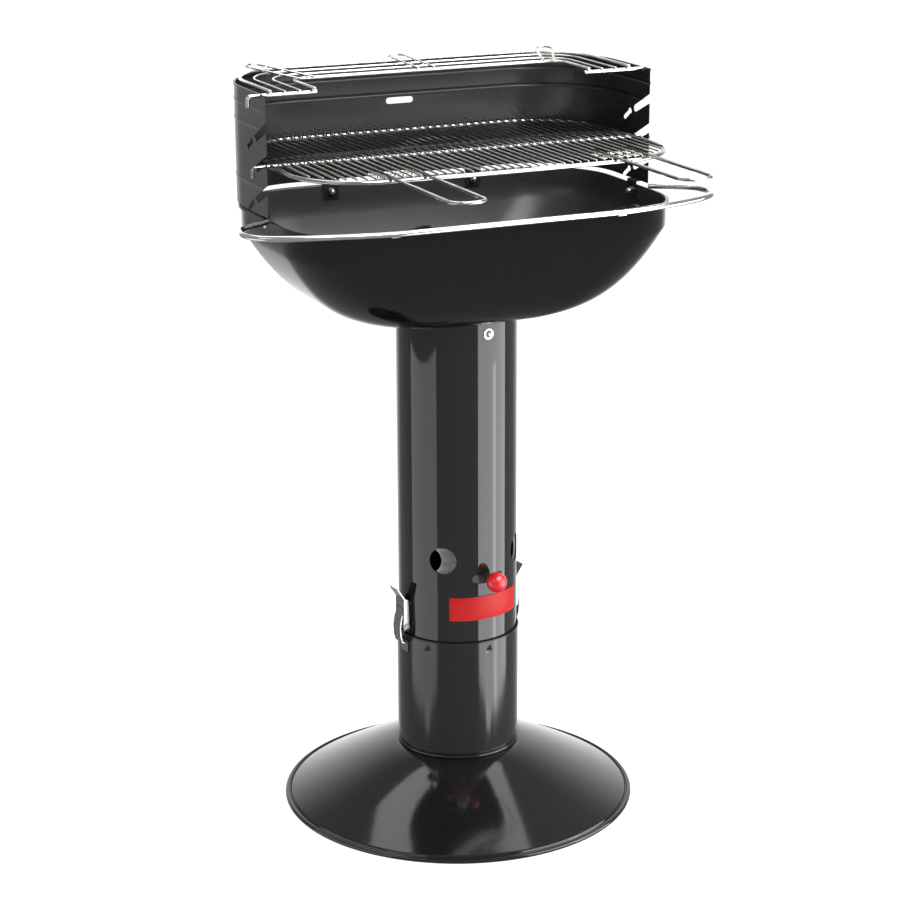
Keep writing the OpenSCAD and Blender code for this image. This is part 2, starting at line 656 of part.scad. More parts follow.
// the bowl's section: corner arcs of 10 steps, drawn in towards the neck's circle by g
bowl_arc = 12;
function corner(k, in) = let (f = (k == 0 || k == 3), r = (f ? bowl_rf : bowl_rb) - in, sx = k < 2 ? 1 : -1)
    [sx * (bowl_half - in - r), f ? -bowl_front + in + r : bowl_back - in - r, r];
function ring(in, g, r0, z) = [for (k = [0:3], i = [0:bowl_arc]) let (a = -90 + 90 * k + 90 * i / bowl_arc, c = corner(k, in))
    [(1 - g) * (c[0] + c[2] * cos(a)) + g * r0 * cos(a), (1 - g) * (c[1] + c[2] * sin(a)) + g * r0 * sin(a), z]];
function dish(s) = dish_z + dish_h * pow(s, 3);
dish_steps = [1, 0.96, 0.9, 0.83, 0.75, 0.66, 0.56, 0.45, 0.33, 0.2, 0.08];

// the dish's curve at step s, moved inwards by the sheet's thickness t along its own normal
function dish_ring(s, t) = let (k = 3 * dish_h * s * s / (bowl_half - hem_w - neck_r), q = sqrt(1 + k * k))
    ring_mix(s, t * k / q, t / q);
function ring_mix(s, tin, up) = [for (k = [0:3], i = [0:bowl_arc]) let (a = -90 + 90 * k + 90 * i / bowl_arc, c = corner(k, hem_w))
    [s * (c[0] + c[2] * cos(a)) + ((1 - s) * neck_r - tin) * cos(a), s * (c[1] + c[2] * sin(a)) + ((1 - s) * neck_r - tin) * sin(a), dish(s) + up]];

module bowl() {
    rings = concat(
        [ring(0, 0, 0, rim_z), ring(0, 0, 0, rim_z - hem_h), ring(hem_w, 0, 0, rim_z - hem_h)],
        [for (s = dish_steps) dish_ring(s, 0)],
        [ring(0, 1, neck_r, dish_z), ring(0, 1, neck_r, dish_z - neck_len)],
        [ring(0, 1, neck_r - bowl_t, dish_z - neck_len), ring(0, 1, neck_r - bowl_t, dish_z + bowl_t)],
        [for (i = [len(dish_steps) - 1:-1:0]) dish_ring(dish_steps[i], bowl_t)],
        [ring(wall_in, 0, 0, rim_z)]);
    m = len(rings);
    n = 4 * (bowl_arc + 1);
    pts = [for (r = rings) each r];
    faces = [for (j = [0:m - 1], i = [0:n - 1]) let (a = j * n + i, b = j * n + (i + 1) % n, c = ((j + 1) % m) * n + (i + 1) % n, d = ((j + 1) % m) * n + i)
        each [[a, b, c], [a, c, d]]];
    color("#17181a") difference() {
        polyhedron(pts, faces, convexity = 8);
        for (i = [0:neck_bolt_n - 1]) turn(column_turn + i * 360 / neck_bolt_n)
            translate([neck_r - 12, 0, tube_top - neck_bolt_down]) rotate([0, 90, 0]) cylinder(h = 24, d = hole_d);
        tab_places(rim_z - tab_bolt_down) translate([-12, 0, 0]) rotate([0, 90, 0]) cylinder(h = 24, d = hole_d);
    }
}

// puts a piece at each of the four tabs, with +X outwards from the bowl wall's outer face
module tab_places(z) {
    for (s = [-1, 1]) {
        translate([s * tab_x, bowl_back - hem_w, z]) rotate([0, 0, 90]) children();
        translate([s * (bowl_half - hem_w), tab_y, z]) rotate([0, 0, s > 0 ? 0 : 180]) children();
    }
}

module charcoal_rim() {
    color("#2b2c2d") translate([0, 0, dish_z + bowl_t + coal_seat + coal_wire / 2]) rotate_extrude($fn = 96)
        translate([coal_d / 2 - coal_wire / 2, 0]) circle(d = coal_wire);
}

module charcoal_wires() {
    r = coal_d / 2 - coal_wire / 2;
    z = dish_z + bowl_t + coal_seat + coal_wire * 3 / 2;
    k = floor((r - 4) / coal_pitch);
    color("#2b2c2d") for (i = [-k:k]) let (x = i * coal_pitch, y = sqrt(r * r - x * x)) rod([x, -y, z], [x, y, z], coal_wire);
}

// a U-shaped block with round back corners
module u_block(half, back, r, front, z0, z1) {
    translate([0, 0, z0]) {
        translate([-half, -front, 0]) cube([2 * half, front + back - r, z1 - z0]);
        translate([-half + r, 0, 0]) cube([2 * (half - r), back, z1 - z0]);
        for (s = [-1, 1]) translate([s * (half - r), back - r, 0]) intersection() {
            cylinder(h = z1 - z0, r = r, $fn = 96);
            translate([-r - 1, 0, 0]) cube([2 * r + 2, r + 1, z1 - z0]);
        }
    }
}

function u_path(z, in) = [[-shield_half + in, -shield_front, z], [-shield_half + in, shield_back - in, z],
    [shield_half - in, shield_back - in, z], [shield_half - in, -shield_front, z]];

module windshield() {
    slope = [cos(notch_slope), -sin(notch_slope)];
    color("#1b1c1e") difference() {
        union() {
            difference() {
                u_block(shield_half, shield_back, shield_r, shield_front, shield_z, shield_top - roll_d / 2);
                u_block(shield_in, shield_in_back, shield_r - shield_t, shield_front + 1, shield_z - 1, shield_top + 1);
            }
            wire(u_path(shield_top - roll_d / 2, shield_t / 2), shield_r - shield_t / 2, roll_d);
            for (b = bead_down) wire(u_path(shield_top - b, shield_t / 2), shield_r - shield_t / 2, bead_d);
            for (s = [-1, 1]) {
                tab(s * tab_x, false);
                tab(s, true);
            }
        }
        for (n = notch_down) translate([-shield_half - 10, 0, 0]) rotate([90, 0, 90]) linear_extrude(2 * shield_half + 20)
            polygon([[notch_y, shield_top - n] + notch_w / 2 * [slope[1] * -1, slope[0]],
                [notch_y, shield_top - n] + notch_w / 2 * [slope[1], -slope[0]],
                [notch_y, shield_top - n] + notch_w / 2 * [slope[1], -slope[0]] - 60 * slope - [0, notch_flare],
                [notch_y, shield_top - n] + notch_w / 2 * [slope[1] * -1, slope[0]] - 60 * slope]);
        for (n = notch_down) translate([-shield_half - 10, notch_y, shield_top - n]) rotate([0, 90, 0])
            cylinder(h = 2 * shield_half + 20, d = notch_w);
        for (n = [notch_down[0], notch_down[2]]) {
            translate([-shield_half - 10, notch_y + 16, shield_top - n - 6.5]) rotate([0, 90, 0])
                cylinder(h = 2 * shield_half + 20, d = notch_w);
            for (i = [0:2]) translate([-shield_half - 10, notch_y + 21 + 5 * i, shield_top - n - 10 - 3.3 * i]) rotate([0, 90, 0])
                cylinder(h = 2 * shield_half + 20, d = notch_w * 0.65);
        }
        translate([-shield_half - 10, bar_y, bar_z]) rotate([0, 90, 0]) cylinder(h = 2 * shield_half + 20, d = rack_d + 1);
        translate([-shield_half - 10, bar_y - rack_d / 2 - 0.5, bar_z]) cube([2 * shield_half + 20, rack_d + 1, 20]);
        translate([-back_slot_w / 2 + back_slot_h / 2, shield_back - 10, shield_top - back_slot_down - back_slot_h / 2]) cube([back_slot_w - back_slot_h, 20, back_slot_h]);
        for (s = [-1, 1]) translate([s * (back_slot_w - back_slot_h) / 2, shield_back - 10, shield_top - back_slot_down]) rotate([-90, 0, 0])
            cylinder(h = 20, d = back_slot_h);
        tab_places(rim_z - tab_bolt_down) translate([-12, 0, 0]) rotate([0, 90, 0]) cylinder(h = 13, d = hole_d);
    }
}

// one bent tab, from the windshield's lower edge inwards over the rim and down inside the bowl
module tab(x, side) {
    over = side ? shield_over : shield_over_back;
    place = side ? [x * (bowl_half - hem_w), tab_y, 0] : [x, bowl_back - hem_w, 0];
    translate(place) rotate([0, 0, side ? (x > 0 ? 0 : 180) : 90]) {
        translate([-bowl_t - tab_play - shield_t, -tab_w / 2, rim_z - tab_down]) cube([shield_t, tab_w, tab_down + shield_gap + shield_t]);
        translate([-bowl_t - tab_play - shield_t, -tab_w / 2, shield_z]) cube([bowl_t + tab_play + shield_t + hem_w + over - shield_t / 2, tab_w, shield_t]);
    }
}

module shield_bolts() {
    color("#b4b7b9") tab_places(rim_z - tab_bolt_down) bolt_x(0, bowl_t + tab_play + shield_t + 4, 10);
}

module shield_nuts() {
    color("#c9cccd") tab_places(rim_z - tab_bolt_down) translate([-bowl_t - tab_play - shield_t, 0, 0]) rotate([0, -90, 0]) difference() {
        union() {
            cylinder(h = 4, d = bolt_d * 1.8, $fn = 6);
            translate([0, 0, 4]) intersection() {
                sphere(d = bolt_d * 1.5);
                cylinder(h = 6, d = bolt_d * 2);
            }
        }
        translate([0, 0, -1]) cylinder(h = 5, d = bolt_d, $fn = 48);
    }
}

// the rail's path from the middle of the front to its end at the bowl's side
rail_z = rim_z + rail_up;
rail_y = -bowl_front - rail_out;
rail_k = rail_loop / 64;
function rail_side(s) = [[s * lug_x, rail_y, rail_z], [s * (bowl_half - 67 * rail_k), rail_y + 9 * rail_k, rail_z],
    [s * (bowl_half - 8 * rail_k), rail_y + 25 * rail_k, rail_z],
    [s * (bowl_half + rail_loop - 37 * rail_k), rail_y + 38 * rail_k, rail_z],
    [s * (bowl_half + rail_loop - 13.5 * rail_k), rail_y + 53 * rail_k, rail_z],
    [s * (bowl_half + rail_loop), rail_y + 77 * rail_k, rail_z], [s * (bowl_half + rail_loop - 9.5 * rail_k), rail_y + 115 * rail_k, rail_z],
    [s * (bowl_half + rail_loop - 37 * rail_k), rail_y + 134 * rail_k, rail_z],
    [s * (bowl_half + 2.4), rail_y + 149 * rail_k, rail_z]];
rail_bends = [for (r = [200, 400, 200, 100, 40, 35, 35, 100, 0]) r * rail_k];

module rail() {
    left = rail_side(-1);
    color("#c9cccd") swept(concat([for (i = [len(left) - 1:-1:0]) left[i]], rail_side(1)),
        concat([for (i = [len(left) - 1:-1:0]) rail_bends[i]], rail_bends), rail_d);
}

module rail_lugs() {
    color("#c9cccd") for (s = [-1, 1]) difference() {
        translate([s * lug_x - 6, rail_y, rim_z - hem_h + 0.5]) cube([12, rail_out, 3]);
        rail();
    }
}

function rail_at(x) = rail_y + max(0, abs(x) - lug_x) * 9 / (bowl_half - 67 - lug_x);

module rim_pegs() {
    over = rim_z + peg_d / 2 + 0.3;
    color("#1b1c1e") for (x = [-peg_left, peg_right]) let (y = rail_at(x) + rail_d / 2 * 1.03 + (abs(x) > lug_x ? 0.4 : 0))
        swept([[x, y, over], [x, -bowl_front + hem_w + 6, over], [x, -bowl_front + 70, over - 18]], 10, peg_d, 12);
}

grid_path = [[-grid_half, -grid_front + grid_bow, frame_z], [0, -grid_front - grid_bow, frame_z], [grid_half, -grid_front + grid_bow, frame_z],
    [grid_half, grid_back, frame_z], [-grid_half, grid_back, frame_z]];
grid_rf = bowl_rf * 100 / 101;
grid_rb = shield_r * 110 / 122;

// how far forward and back the frame wire runs at x
function frame_front(x) = let (q = abs(x) - (grid_half - grid_rf), y = -grid_front + grid_bow)
    q <= 0 ? y - 2 * grid_bow * (1 - abs(x) / grid_half) * 0.8 : y + grid_rf - sqrt(max(0, grid_rf * grid_rf - q * q));
function frame_back(x) = let (q = abs(x) - (grid_half - grid_rb))
    q <= 0 ? grid_back : grid_back - grid_rb + sqrt(max(0, grid_rb * grid_rb - q * q));

module grid_frame() {
    color("#c9cccd") swept(grid_path, [grid_rf, 2500, grid_rf, grid_rb, grid_rb], frame_d, 12, true);
}

module grid_wires() {
    color("#c9cccd") for (k = [0:wire_n - 1]) let (x = (k - (wire_n - 1) / 2) * wire_pitch) if (abs(x) < grid_half - 4)
        rod([x, frame_front(x) - 1, grid_z], [x, frame_back(x) + 1, grid_z], wire_d);
}

module grid_crossbar() {
    x = shield_half + cross_out;
    color("#c9cccd") difference() {
        wire([[-x, cross_y, cross_z - cross_drop], [-x, cross_y, cross_z], [x, cross_y, cross_z], [x, cross_y, cross_z - cross_drop]], 6, cross_d);
        for (s = [-1, 1]) rod([s * grid_half, cross_y - 20, frame_z], [s * grid_half, cross_y + 20, frame_z], frame_d);
    }
}

// one U-shaped handle; its legs lie on the frame wire, in gaps between the thin wires
module handle(gap, reach) {
    x = (gap + (wire_n % 2) / 2) * wire_pitch;
    w = handle_gaps * wire_pitch / 2;
    y0 = -grid_front - reach;
    y1 = -grid_front + handle_in;
    color("#c9cccd") wire([[x - w, y1, handle_z], [x - w, y0, handle_z], [x + w, y0, handle_z], [x + w, y1, handle_z]], 20, handle_d);
}

module left_handle() { handle(handle_left, handle_out_left); }
module right_handle() { handle(handle_right, handle_out_right); }

module grid_ties() {
    z = grid_z - wire_d / 2 - tie_d / 2;
    w = (handle_gaps / 2 + 0.8) * wire_pitch;
    color("#c9cccd") for (h = [handle_left, handle_right], y = [8, 32]) let (x = (h + (wire_n % 2) / 2) * wire_pitch)
        rod([x - w, -grid_front + handle_in - y, z], [x + w, -grid_front + handle_in - y, z], tie_d);
}

rack_k = rack_step / 20.8;
rack_r = [100 * rack_k, 62 * rack_k, 45 * rack_k, 26 * rack_k];
module rack_wire(i, d) {
    x = rack_half - i * rack_step;
    y = shield_back - rack_back[i];
    z = rack_z + (d - rack_d) / 2;
    wire([[-rack_shift - x, bar_y - 6, z], [-rack_shift - x, y, z], [-rack_shift + x, y, z], [-rack_shift + x, bar_y - 6, z]], rack_r[i], d);
}

module rack_outer_wire() { color("#d4d6d7") rack_wire(0, rack_d); }
module rack_inner_wire() { color("#d4d6d7") rack_wire(3, rack_d); }
module rack_thin_wires() { color("#d4d6d7") for (i = [1, 2]) rack_wire(i, rack_thin_d); }

module end_bar(s) {
    x0 = -rack_shift + s * (rack_half - 3 * rack_step - 5);
    x1 = -rack_shift + s * (shield_half + rack_hook_out);
    color("#d4d6d7") wire([[x0, bar_y, bar_z], [x1, bar_y, bar_z], [x1, bar_y, bar_z - rack_hook_drop]], 5, rack_d);
}

module left_end_bar() { end_bar(-1); }
module right_end_bar() { end_bar(1); }

// one wire loop laid over the rack's wires, from its two free ends a and b to its closed end
module loop(a, b, c, d, lift, dip) {
    z = rack_z + rack_d / 2 + rack_thin_d / 2;
    color("#d4d6d7") swept([[a[0], a[1], z - dip], [c[0], c[1], z + lift], [d[0], d[1], z + lift], [b[0], b[1], z - dip]], norm([c[0] - d[0], c[1] - d[1]]) * 0.42, rack_thin_d, 8);
}

module left_loop() {
    x = -rack_shift - rack_half;
    y = shield_back;
    loop([x, y] + rack_k * [72, -139], [x, y] + rack_k * [94, -122], [x, y] + rack_k * [13, -66], [x, y] + rack_k * [35, -49], 11, 1.4);
}

module right_loop() {
    x = -rack_shift + rack_half;
    y = shield_back;
    loop([x, y] + rack_k * [-72, -116], [x, y] + rack_k * [-94, -128], [x, y] + rack_k * [-56, -77], [x, y] + rack_k * [-78, -65], 11, 0);
}

module middle_loop() {
    x = -rack_shift - 3;
    y = shield_back;
    loop([x, y] + rack_k * [-12, -117], [x, y] + rack_k * [12, -117], [x, y] + rack_k * [-12, -3], [x, y] + rack_k * [12, -3], 3, 0);
}

base_plate();
base_bolt();
base_nut();
ash_pot();
catches();
column_tube();
damper_sleeve();
damper_stem();
damper_bush();
damper_knob();
damper_nut();
front_plate();
latch_plates();
lever_pins();
left_lever();
left_bail_pin();
left_bail();
right_lever();
right_bail_pin();
right_bail();
neck_bolts();
neck_washers();
neck_nuts();
bowl();
charcoal_rim();
charcoal_wires();
windshield();
shield_bolts();
shield_nuts();
rail();
rail_lugs();
rim_pegs();
grid_frame();
grid_wires();
grid_crossbar();
left_handle();
right_handle();
grid_ties();
rack_outer_wire();
rack_thin_wires();
rack_inner_wire();
left_end_bar();
right_end_bar();
left_loop();
middle_loop();
right_loop();
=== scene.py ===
import bpy, math
from mathutils import Matrix, Vector


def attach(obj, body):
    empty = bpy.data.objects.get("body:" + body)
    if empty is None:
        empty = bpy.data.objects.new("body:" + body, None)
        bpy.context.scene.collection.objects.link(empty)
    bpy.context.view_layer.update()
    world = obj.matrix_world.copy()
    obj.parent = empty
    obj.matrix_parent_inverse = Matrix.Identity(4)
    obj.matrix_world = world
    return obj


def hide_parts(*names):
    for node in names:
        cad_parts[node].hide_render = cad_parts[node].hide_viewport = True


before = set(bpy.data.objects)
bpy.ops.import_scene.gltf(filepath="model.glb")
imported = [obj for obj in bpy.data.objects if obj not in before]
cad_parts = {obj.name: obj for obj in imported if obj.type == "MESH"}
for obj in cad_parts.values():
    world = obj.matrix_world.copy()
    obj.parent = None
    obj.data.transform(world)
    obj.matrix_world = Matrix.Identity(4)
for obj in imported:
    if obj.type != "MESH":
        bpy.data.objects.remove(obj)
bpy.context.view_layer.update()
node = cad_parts

# The photographer stands a little to the grill's left with a long lens, looking down at it.
# Every length below is the real one in millimetres, times mm.
mm = 0.001
pan, tilt, lean = math.radians(-24.575), math.radians(17.134), math.radians(-0.221)
aim = Vector((-math.sin(pan) * math.cos(tilt), math.cos(pan) * math.cos(tilt), -math.sin(tilt)))
level = Vector((math.cos(pan), math.sin(pan), 0))
upright = level.cross(aim)
side = level * math.cos(lean) + upright * math.sin(lean)
top = upright * math.cos(lean) - level * math.sin(lean)
lens = bpy.data.cameras.new("photo_lens")
lens.sensor_width, lens.lens, lens.clip_end = 36, 97.28, 60
camera = bpy.data.objects.new("photo_camera", lens)
bpy.context.collection.objects.link(camera)
camera.matrix_world = Matrix.Translation(Vector((-1392.8, -3047.9, 1543.2)) * mm) @ Matrix(
    (side, top, -aim)).transposed().to_4x4()
bpy.context.scene.camera = camera
bpy.context.scene.view_settings.view_transform = "Standard"

# A plain pale studio: a seamless white floor, a low softbox to each side that draws the stripes
# on the column, a large one overhead, and a room that is paler behind the grill than before it.
bpy.ops.object.select_all(action="DESELECT")
bpy.ops.mesh.primitive_plane_add(size=60)
floor = bpy.context.object
floor.name = "studio_floor"
floor.visible_glossy = False
paper = bpy.data.materials.new("white_paper")
paper.use_nodes = True
floor.data.materials.append(paper)
work, wire_up = paper.node_tree.nodes, paper.node_tree.links.new
sheet = work["Principled BSDF"]
sheet.inputs["Base Color"].default_value = (0.86, 0.86, 0.84, 1)
sheet.inputs["Roughness"].default_value = 0.32
sheet.inputs["IOR"].default_value = 1.2
glow = work.new("ShaderNodeEmission")
glow.inputs["Color"].default_value = (1, 1, 0.99, 1)
glow.inputs["Strength"].default_value = 1.45
seen = work.new("ShaderNodeLightPath")
share = work.new("ShaderNodeMath")
share.operation = "MULTIPLY"
share.inputs[1].default_value = 0.6
blend_in = work.new("ShaderNodeMixShader")
wire_up(seen.outputs["Is Camera Ray"], share.inputs[0])
wire_up(share.outputs[0], blend_in.inputs["Fac"])
wire_up(sheet.outputs["BSDF"], blend_in.inputs[1])
wire_up(glow.outputs["Emission"], blend_in.inputs[2])
wire_up(blend_in.outputs["Shader"], work["Material Output"].inputs["Surface"])


def softbox(name, azimuth, distance, height, width, tall, strength, look_at):
    """A lamp this far from the column, azimuth degrees round from the front, aimed at look_at."""
    a = math.radians(azimuth)
    lamp = bpy.data.lights.new(name, "AREA")
    lamp.shape, lamp.size, lamp.size_y = "RECTANGLE", width, tall
    lamp.energy = strength * math.pi * width * tall
    box = bpy.data.objects.new(name, lamp)
    bpy.context.collection.objects.link(box)
    place = Vector((distance * math.sin(a), -distance * math.cos(a), height))
    box.matrix_world = Matrix.Translation(place) @ (
        Vector((0, 0, look_at)) - place).to_track_quat("-Z", "Y").to_matrix().to_4x4()
    box.visible_camera = False
    return box


def card_off(box, *shaded):
    """A black card that keeps a softbox off the pieces named."""
    card = box.light_linking.receiver_collection or bpy.data.collections.new(box.name + "_card")
    for piece in shaded:
        card.objects.link(piece)
    for spot in card.collection_objects:
        spot.light_linking.link_state = "EXCLUDE"
    box.light_linking.receiver_collection = card


low_boxes = [softbox("left_softbox", -90, 1.0, 0.09, 1.06, 0.66, 1.5, 0.09),
             softbox("right_softbox", 46, 1.0, 0.29, 1.2, 1.06, 4.6, 0.29),
             softbox("right_hot_strip", 49, 0.99, 0.09, 0.12, 0.66, 3.0, 0.09)]
softbox("overhead_softbox", 165, 0.9, 3.4, 3.0, 1.6, 2.6, 0.6)
front_fill = softbox("front_fill", -60, 4.0, 2.6, 2.0, 1.4, 1.6, 0.7)
front_top = softbox("front_top_softbox", 30, 1.7, 2.9, 3.0, 1.8, 10.0, 0.9)
studio = bpy.data.worlds.new("pale_studio")
bpy.context.scene.world = studio
studio.use_nodes = True
work, wire_up = studio.node_tree.nodes, studio.node_tree.links.new
room = work["Background"]
room.inputs["Color"].default_value = (0.96, 0.98, 1, 1)
way_out = work.new("ShaderNodeTexCoord")
away = work.new("ShaderNodeVectorMath")
away.operation = "DOT_PRODUCT"
away.inputs[1].default_value = (0.40, 0.87, 0.12)
paler = work.new("ShaderNodeMapRange")
paler.interpolation_type = "SMOOTHSTEP"
for word, value in (("From Min", 0.6), ("From Max", 0.97), ("To Min", 0.36), ("To Max", 1.5)):
    paler.inputs[word].default_value = value
wire_up(way_out.outputs["Generated"], away.inputs[0])
wire_up(away.outputs["Value"], paler.inputs["Value"])
wire_up(paler.outputs[0], room.inputs["Strength"])
white = work.new("ShaderNodeBackground")
white.inputs["Strength"].default_value = 1.25
seen = work.new("ShaderNodeLightPath")
blend_in = work.new("ShaderNodeMixShader")
wire_up(seen.outputs["Is Camera Ray"], blend_in.inputs["Fac"])
wire_up(room.outputs["Background"], blend_in.inputs[1])
wire_up(white.outputs["Background"], blend_in.inputs[2])
wire_up(blend_in.outputs["Shader"], work["World Output"].inputs["Surface"])

# The base plate is one disc of steel pressed to a low dome, with its rim rolled under into a
# bead that it stands on, and coated in black gloss enamel inside and out.
base_top, base_skirt, base_high, base_low = 88 * mm, 246.96 * mm, 84 * mm, 6.88 * mm
bead_at, bead_high, bead = 250.95 * mm, 3.6 * mm, 3.55 * mm


def lathe(name, outline, sides):
    """A shell turned about the column's axis, drawn out ring by ring from outline's first point."""
    bpy.ops.object.select_all(action="DESELECT")
    r, z = outline[0]
    bpy.ops.mesh.primitive_circle_add(vertices=sides, radius=r, location=(0, 0, z))
    shell = bpy.context.object
    shell.name = name
    bpy.ops.object.transform_apply(location=True, rotation=True, scale=True)
    bpy.ops.object.mode_set(mode="EDIT")
    bpy.ops.mesh.select_all(action="SELECT")
    for nr, nz in outline[1:]:
        bpy.ops.mesh.extrude_region_move(TRANSFORM_OT_translate={"value": (0, 0, nz - z)})
        bpy.ops.transform.resize(value=(nr / r, nr / r, 1), center_override=(0, 0, nz))
        r, z = nr, nz
    bpy.ops.object.mode_set(mode="OBJECT")
    return shell


def only(piece):
    """Selects this piece and nothing else."""
    bpy.ops.object.select_all(action="DESELECT")
    piece.select_set(True)
    bpy.context.view_layer.objects.active = piece


def merge(shell):
    """Merges what touches and turns the faces outwards."""
    only(shell)
    bpy.ops.object.mode_set(mode="EDIT")
    bpy.ops.mesh.select_all(action="SELECT")
    bpy.ops.mesh.remove_doubles(threshold=0.00002)
    bpy.ops.mesh.normals_make_consistent(inside=False)
    bpy.ops.object.mode_set(mode="OBJECT")


def give_wall(shell, wall, even=True):
    """Gives the sheet its thickness, inwards from the drawn face."""
    only(shell)
    sheet = shell.modifiers.new("wall", "SOLIDIFY")
    sheet.thickness, sheet.offset, sheet.use_even_offset = wall, -1, even
    bpy.ops.object.modifier_apply(modifier="wall")


def smooth(piece, angle):
    only(piece)
    bpy.ops.object.shade_smooth_by_angle(angle=math.radians(angle))


def group(name, inputs, outputs):
    """An empty node group; each input is its name, its kind and the value it starts from."""
    tree = bpy.data.node_groups.new(name, "ShaderNodeTree")
    for word, kind, value in inputs:
        socket = tree.interface.new_socket(word, in_out="INPUT", socket_type="NodeSocket" + kind)
        socket.default_value = value
    for word, kind in outputs:
        tree.interface.new_socket(word, in_out="OUTPUT", socket_type="NodeSocket" + kind)
    return tree, tree.nodes.new("NodeGroupInput"), tree.nodes.new("NodeGroupOutput")


# enamel's own skin: a slow orange peel, a fine speckled dusting on what faces up that is partly real dirt
# and partly painted sheen of the overhead light, and dull patches
skin, given, made = group("enamel_skin", [
    ("Colour", "Color", (0.01, 0.01, 0.011, 1)), ("Dust Colour", "Color", (0.2, 0.2, 0.19, 1)),
    ("Peel", "Float", 0.02), ("Dust And Sheen", "Float", 0.1), ("Gloss", "Float", 0.1), ("Dullness", "Float", 0.1)],
    [("Colour", "Color"), ("Roughness", "Float"), ("Normal", "Vector")])
work, wire_up = skin.nodes, skin.links.new
where = work.new("ShaderNodeTexCoord")
peel = work.new("ShaderNodeTexNoise")
peel.inputs["Scale"].default_value, peel.inputs["Detail"].default_value = 210, 2
wire_up(where.outputs["Object"], peel.inputs["Vector"])
bump = work.new("ShaderNodeBump")
bump.inputs["Distance"].default_value = 0.0004
wire_up(given.outputs["Peel"], bump.inputs["Strength"])
wire_up(peel.outputs["Fac"], bump.inputs["Height"])
wire_up(bump.outputs["Normal"], made.inputs["Normal"])
cloud = work.new("ShaderNodeTexNoise")
cloud.inputs["Scale"].default_value, cloud.inputs["Detail"].default_value = 7, 5
wire_up(where.outputs["Object"], cloud.inputs["Vector"])
speck = work.new("ShaderNodeTexNoise")
speck.inputs["Scale"].default_value, speck.inputs["Detail"].default_value = 900, 3
wire_up(where.outputs["Object"], speck.inputs["Vector"])
faces_up = work.new("ShaderNodeSeparateXYZ")
shape = work.new("ShaderNodeNewGeometry")
wire_up(shape.outputs["Normal"], faces_up.inputs[0])
# painted sheen and dusting: faces that point up are mixed towards the lighter colour, partly settled dirt
# and partly painted light from above
upward_dust_and_sheen_mask = work.new("ShaderNodeMapRange")
upward_dust_and_sheen_mask.inputs["From Min"].default_value, upward_dust_and_sheen_mask.inputs["From Max"].default_value = 0.2, 1.0
wire_up(faces_up.outputs["Z"], upward_dust_and_sheen_mask.inputs["Value"])
grains = work.new("ShaderNodeMapRange")
grains.inputs["From Min"].default_value, grains.inputs["From Max"].default_value = 0.52, 0.75
wire_up(speck.outputs["Fac"], grains.inputs["Value"])
dust_and_sheen_spots = work.new("ShaderNodeMath")
dust_and_sheen_spots.operation = "MULTIPLY"
wire_up(upward_dust_and_sheen_mask.outputs[0], dust_and_sheen_spots.inputs[0])
wire_up(grains.outputs[0], dust_and_sheen_spots.inputs[1])
dust_and_sheen_amount = work.new("ShaderNodeMath")
dust_and_sheen_amount.operation = "MULTIPLY"
wire_up(dust_and_sheen_spots.outputs[0], dust_and_sheen_amount.inputs[0])
wire_up(given.outputs["Dust And Sheen"], dust_and_sheen_amount.inputs[1])
tint = work.new("ShaderNodeMix")
tint.data_type = "RGBA"
wire_up(dust_and_sheen_amount.outputs[0], tint.inputs["Factor"])
wire_up(given.outputs["Colour"], tint.inputs["A"])
wire_up(given.outputs["Dust Colour"], tint.inputs["B"])
wire_up(tint.outputs["Result"], made.inputs["Colour"])
patch = work.new("ShaderNodeMath")
patch.operation = "MULTIPLY_ADD"
wire_up(cloud.outputs["Fac"], patch.inputs[0])
wire_up(given.outputs["Dullness"], patch.inputs[1])
wire_up(given.outputs["Gloss"], patch.inputs[2])
rough = work.new("ShaderNodeMath")
rough.operation = "MULTIPLY_ADD"
wire_up(dust_and_sheen_amount.outputs[0], rough.inputs[0])
rough.inputs[1].default_value = 0.5
wire_up(patch.outputs[0], rough.inputs[2])
wire_up(rough.outputs[0], made.inputs["Roughness"])


def material(name, tree, values, metallic=0.0, ior=1.5, coat=0.0, coat_rough=0.05):
    """A Principled surface whose colour, roughness and normal come from a group's own values."""
    finish = bpy.data.materials.new(name)
    finish.use_nodes = True
    surface = finish.node_tree.nodes["Principled BSDF"]
    surface.inputs["Metallic"].default_value = metallic
    surface.inputs["IOR"].default_value = ior
    surface.inputs["Coat Weight"].default_value = coat
    surface.inputs["Coat Roughness"].default_value = coat_rough
    effect = finish.node_tree.nodes.new("ShaderNodeGroup")
    effect.node_tree = tree
    for word, value in values.items():
        effect.inputs[word].default_value = value
    join = finish.node_tree.links.new
    join(effect.outputs["Colour"], surface.inputs["Base Color"])
    join(effect.outputs["Roughness"], surface.inputs["Roughness"])
    join(effect.outputs["Normal"], surface.inputs["Normal"])
    return finish


def enamel(name, gloss=0.05, dullness=0.05, peel=0.06, dust_and_sheen=0.05, colour=(0.011, 0.011, 0.0115, 1)):
    return material(name, skin, {"Colour": colour, "Gloss": gloss, "Dullness": dullness, "Peel": peel,
                                 "Dust And Sheen": dust_and_sheen})


def dress(piece, finish, slot, body, *nodes):
    """Gives a piece its finish, its body and the CAD nodes that it stands for."""
    piece.data.materials.clear()
    piece.data.materials.append(finish)
    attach(piece, body)
    if nodes:
        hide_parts(*nodes)


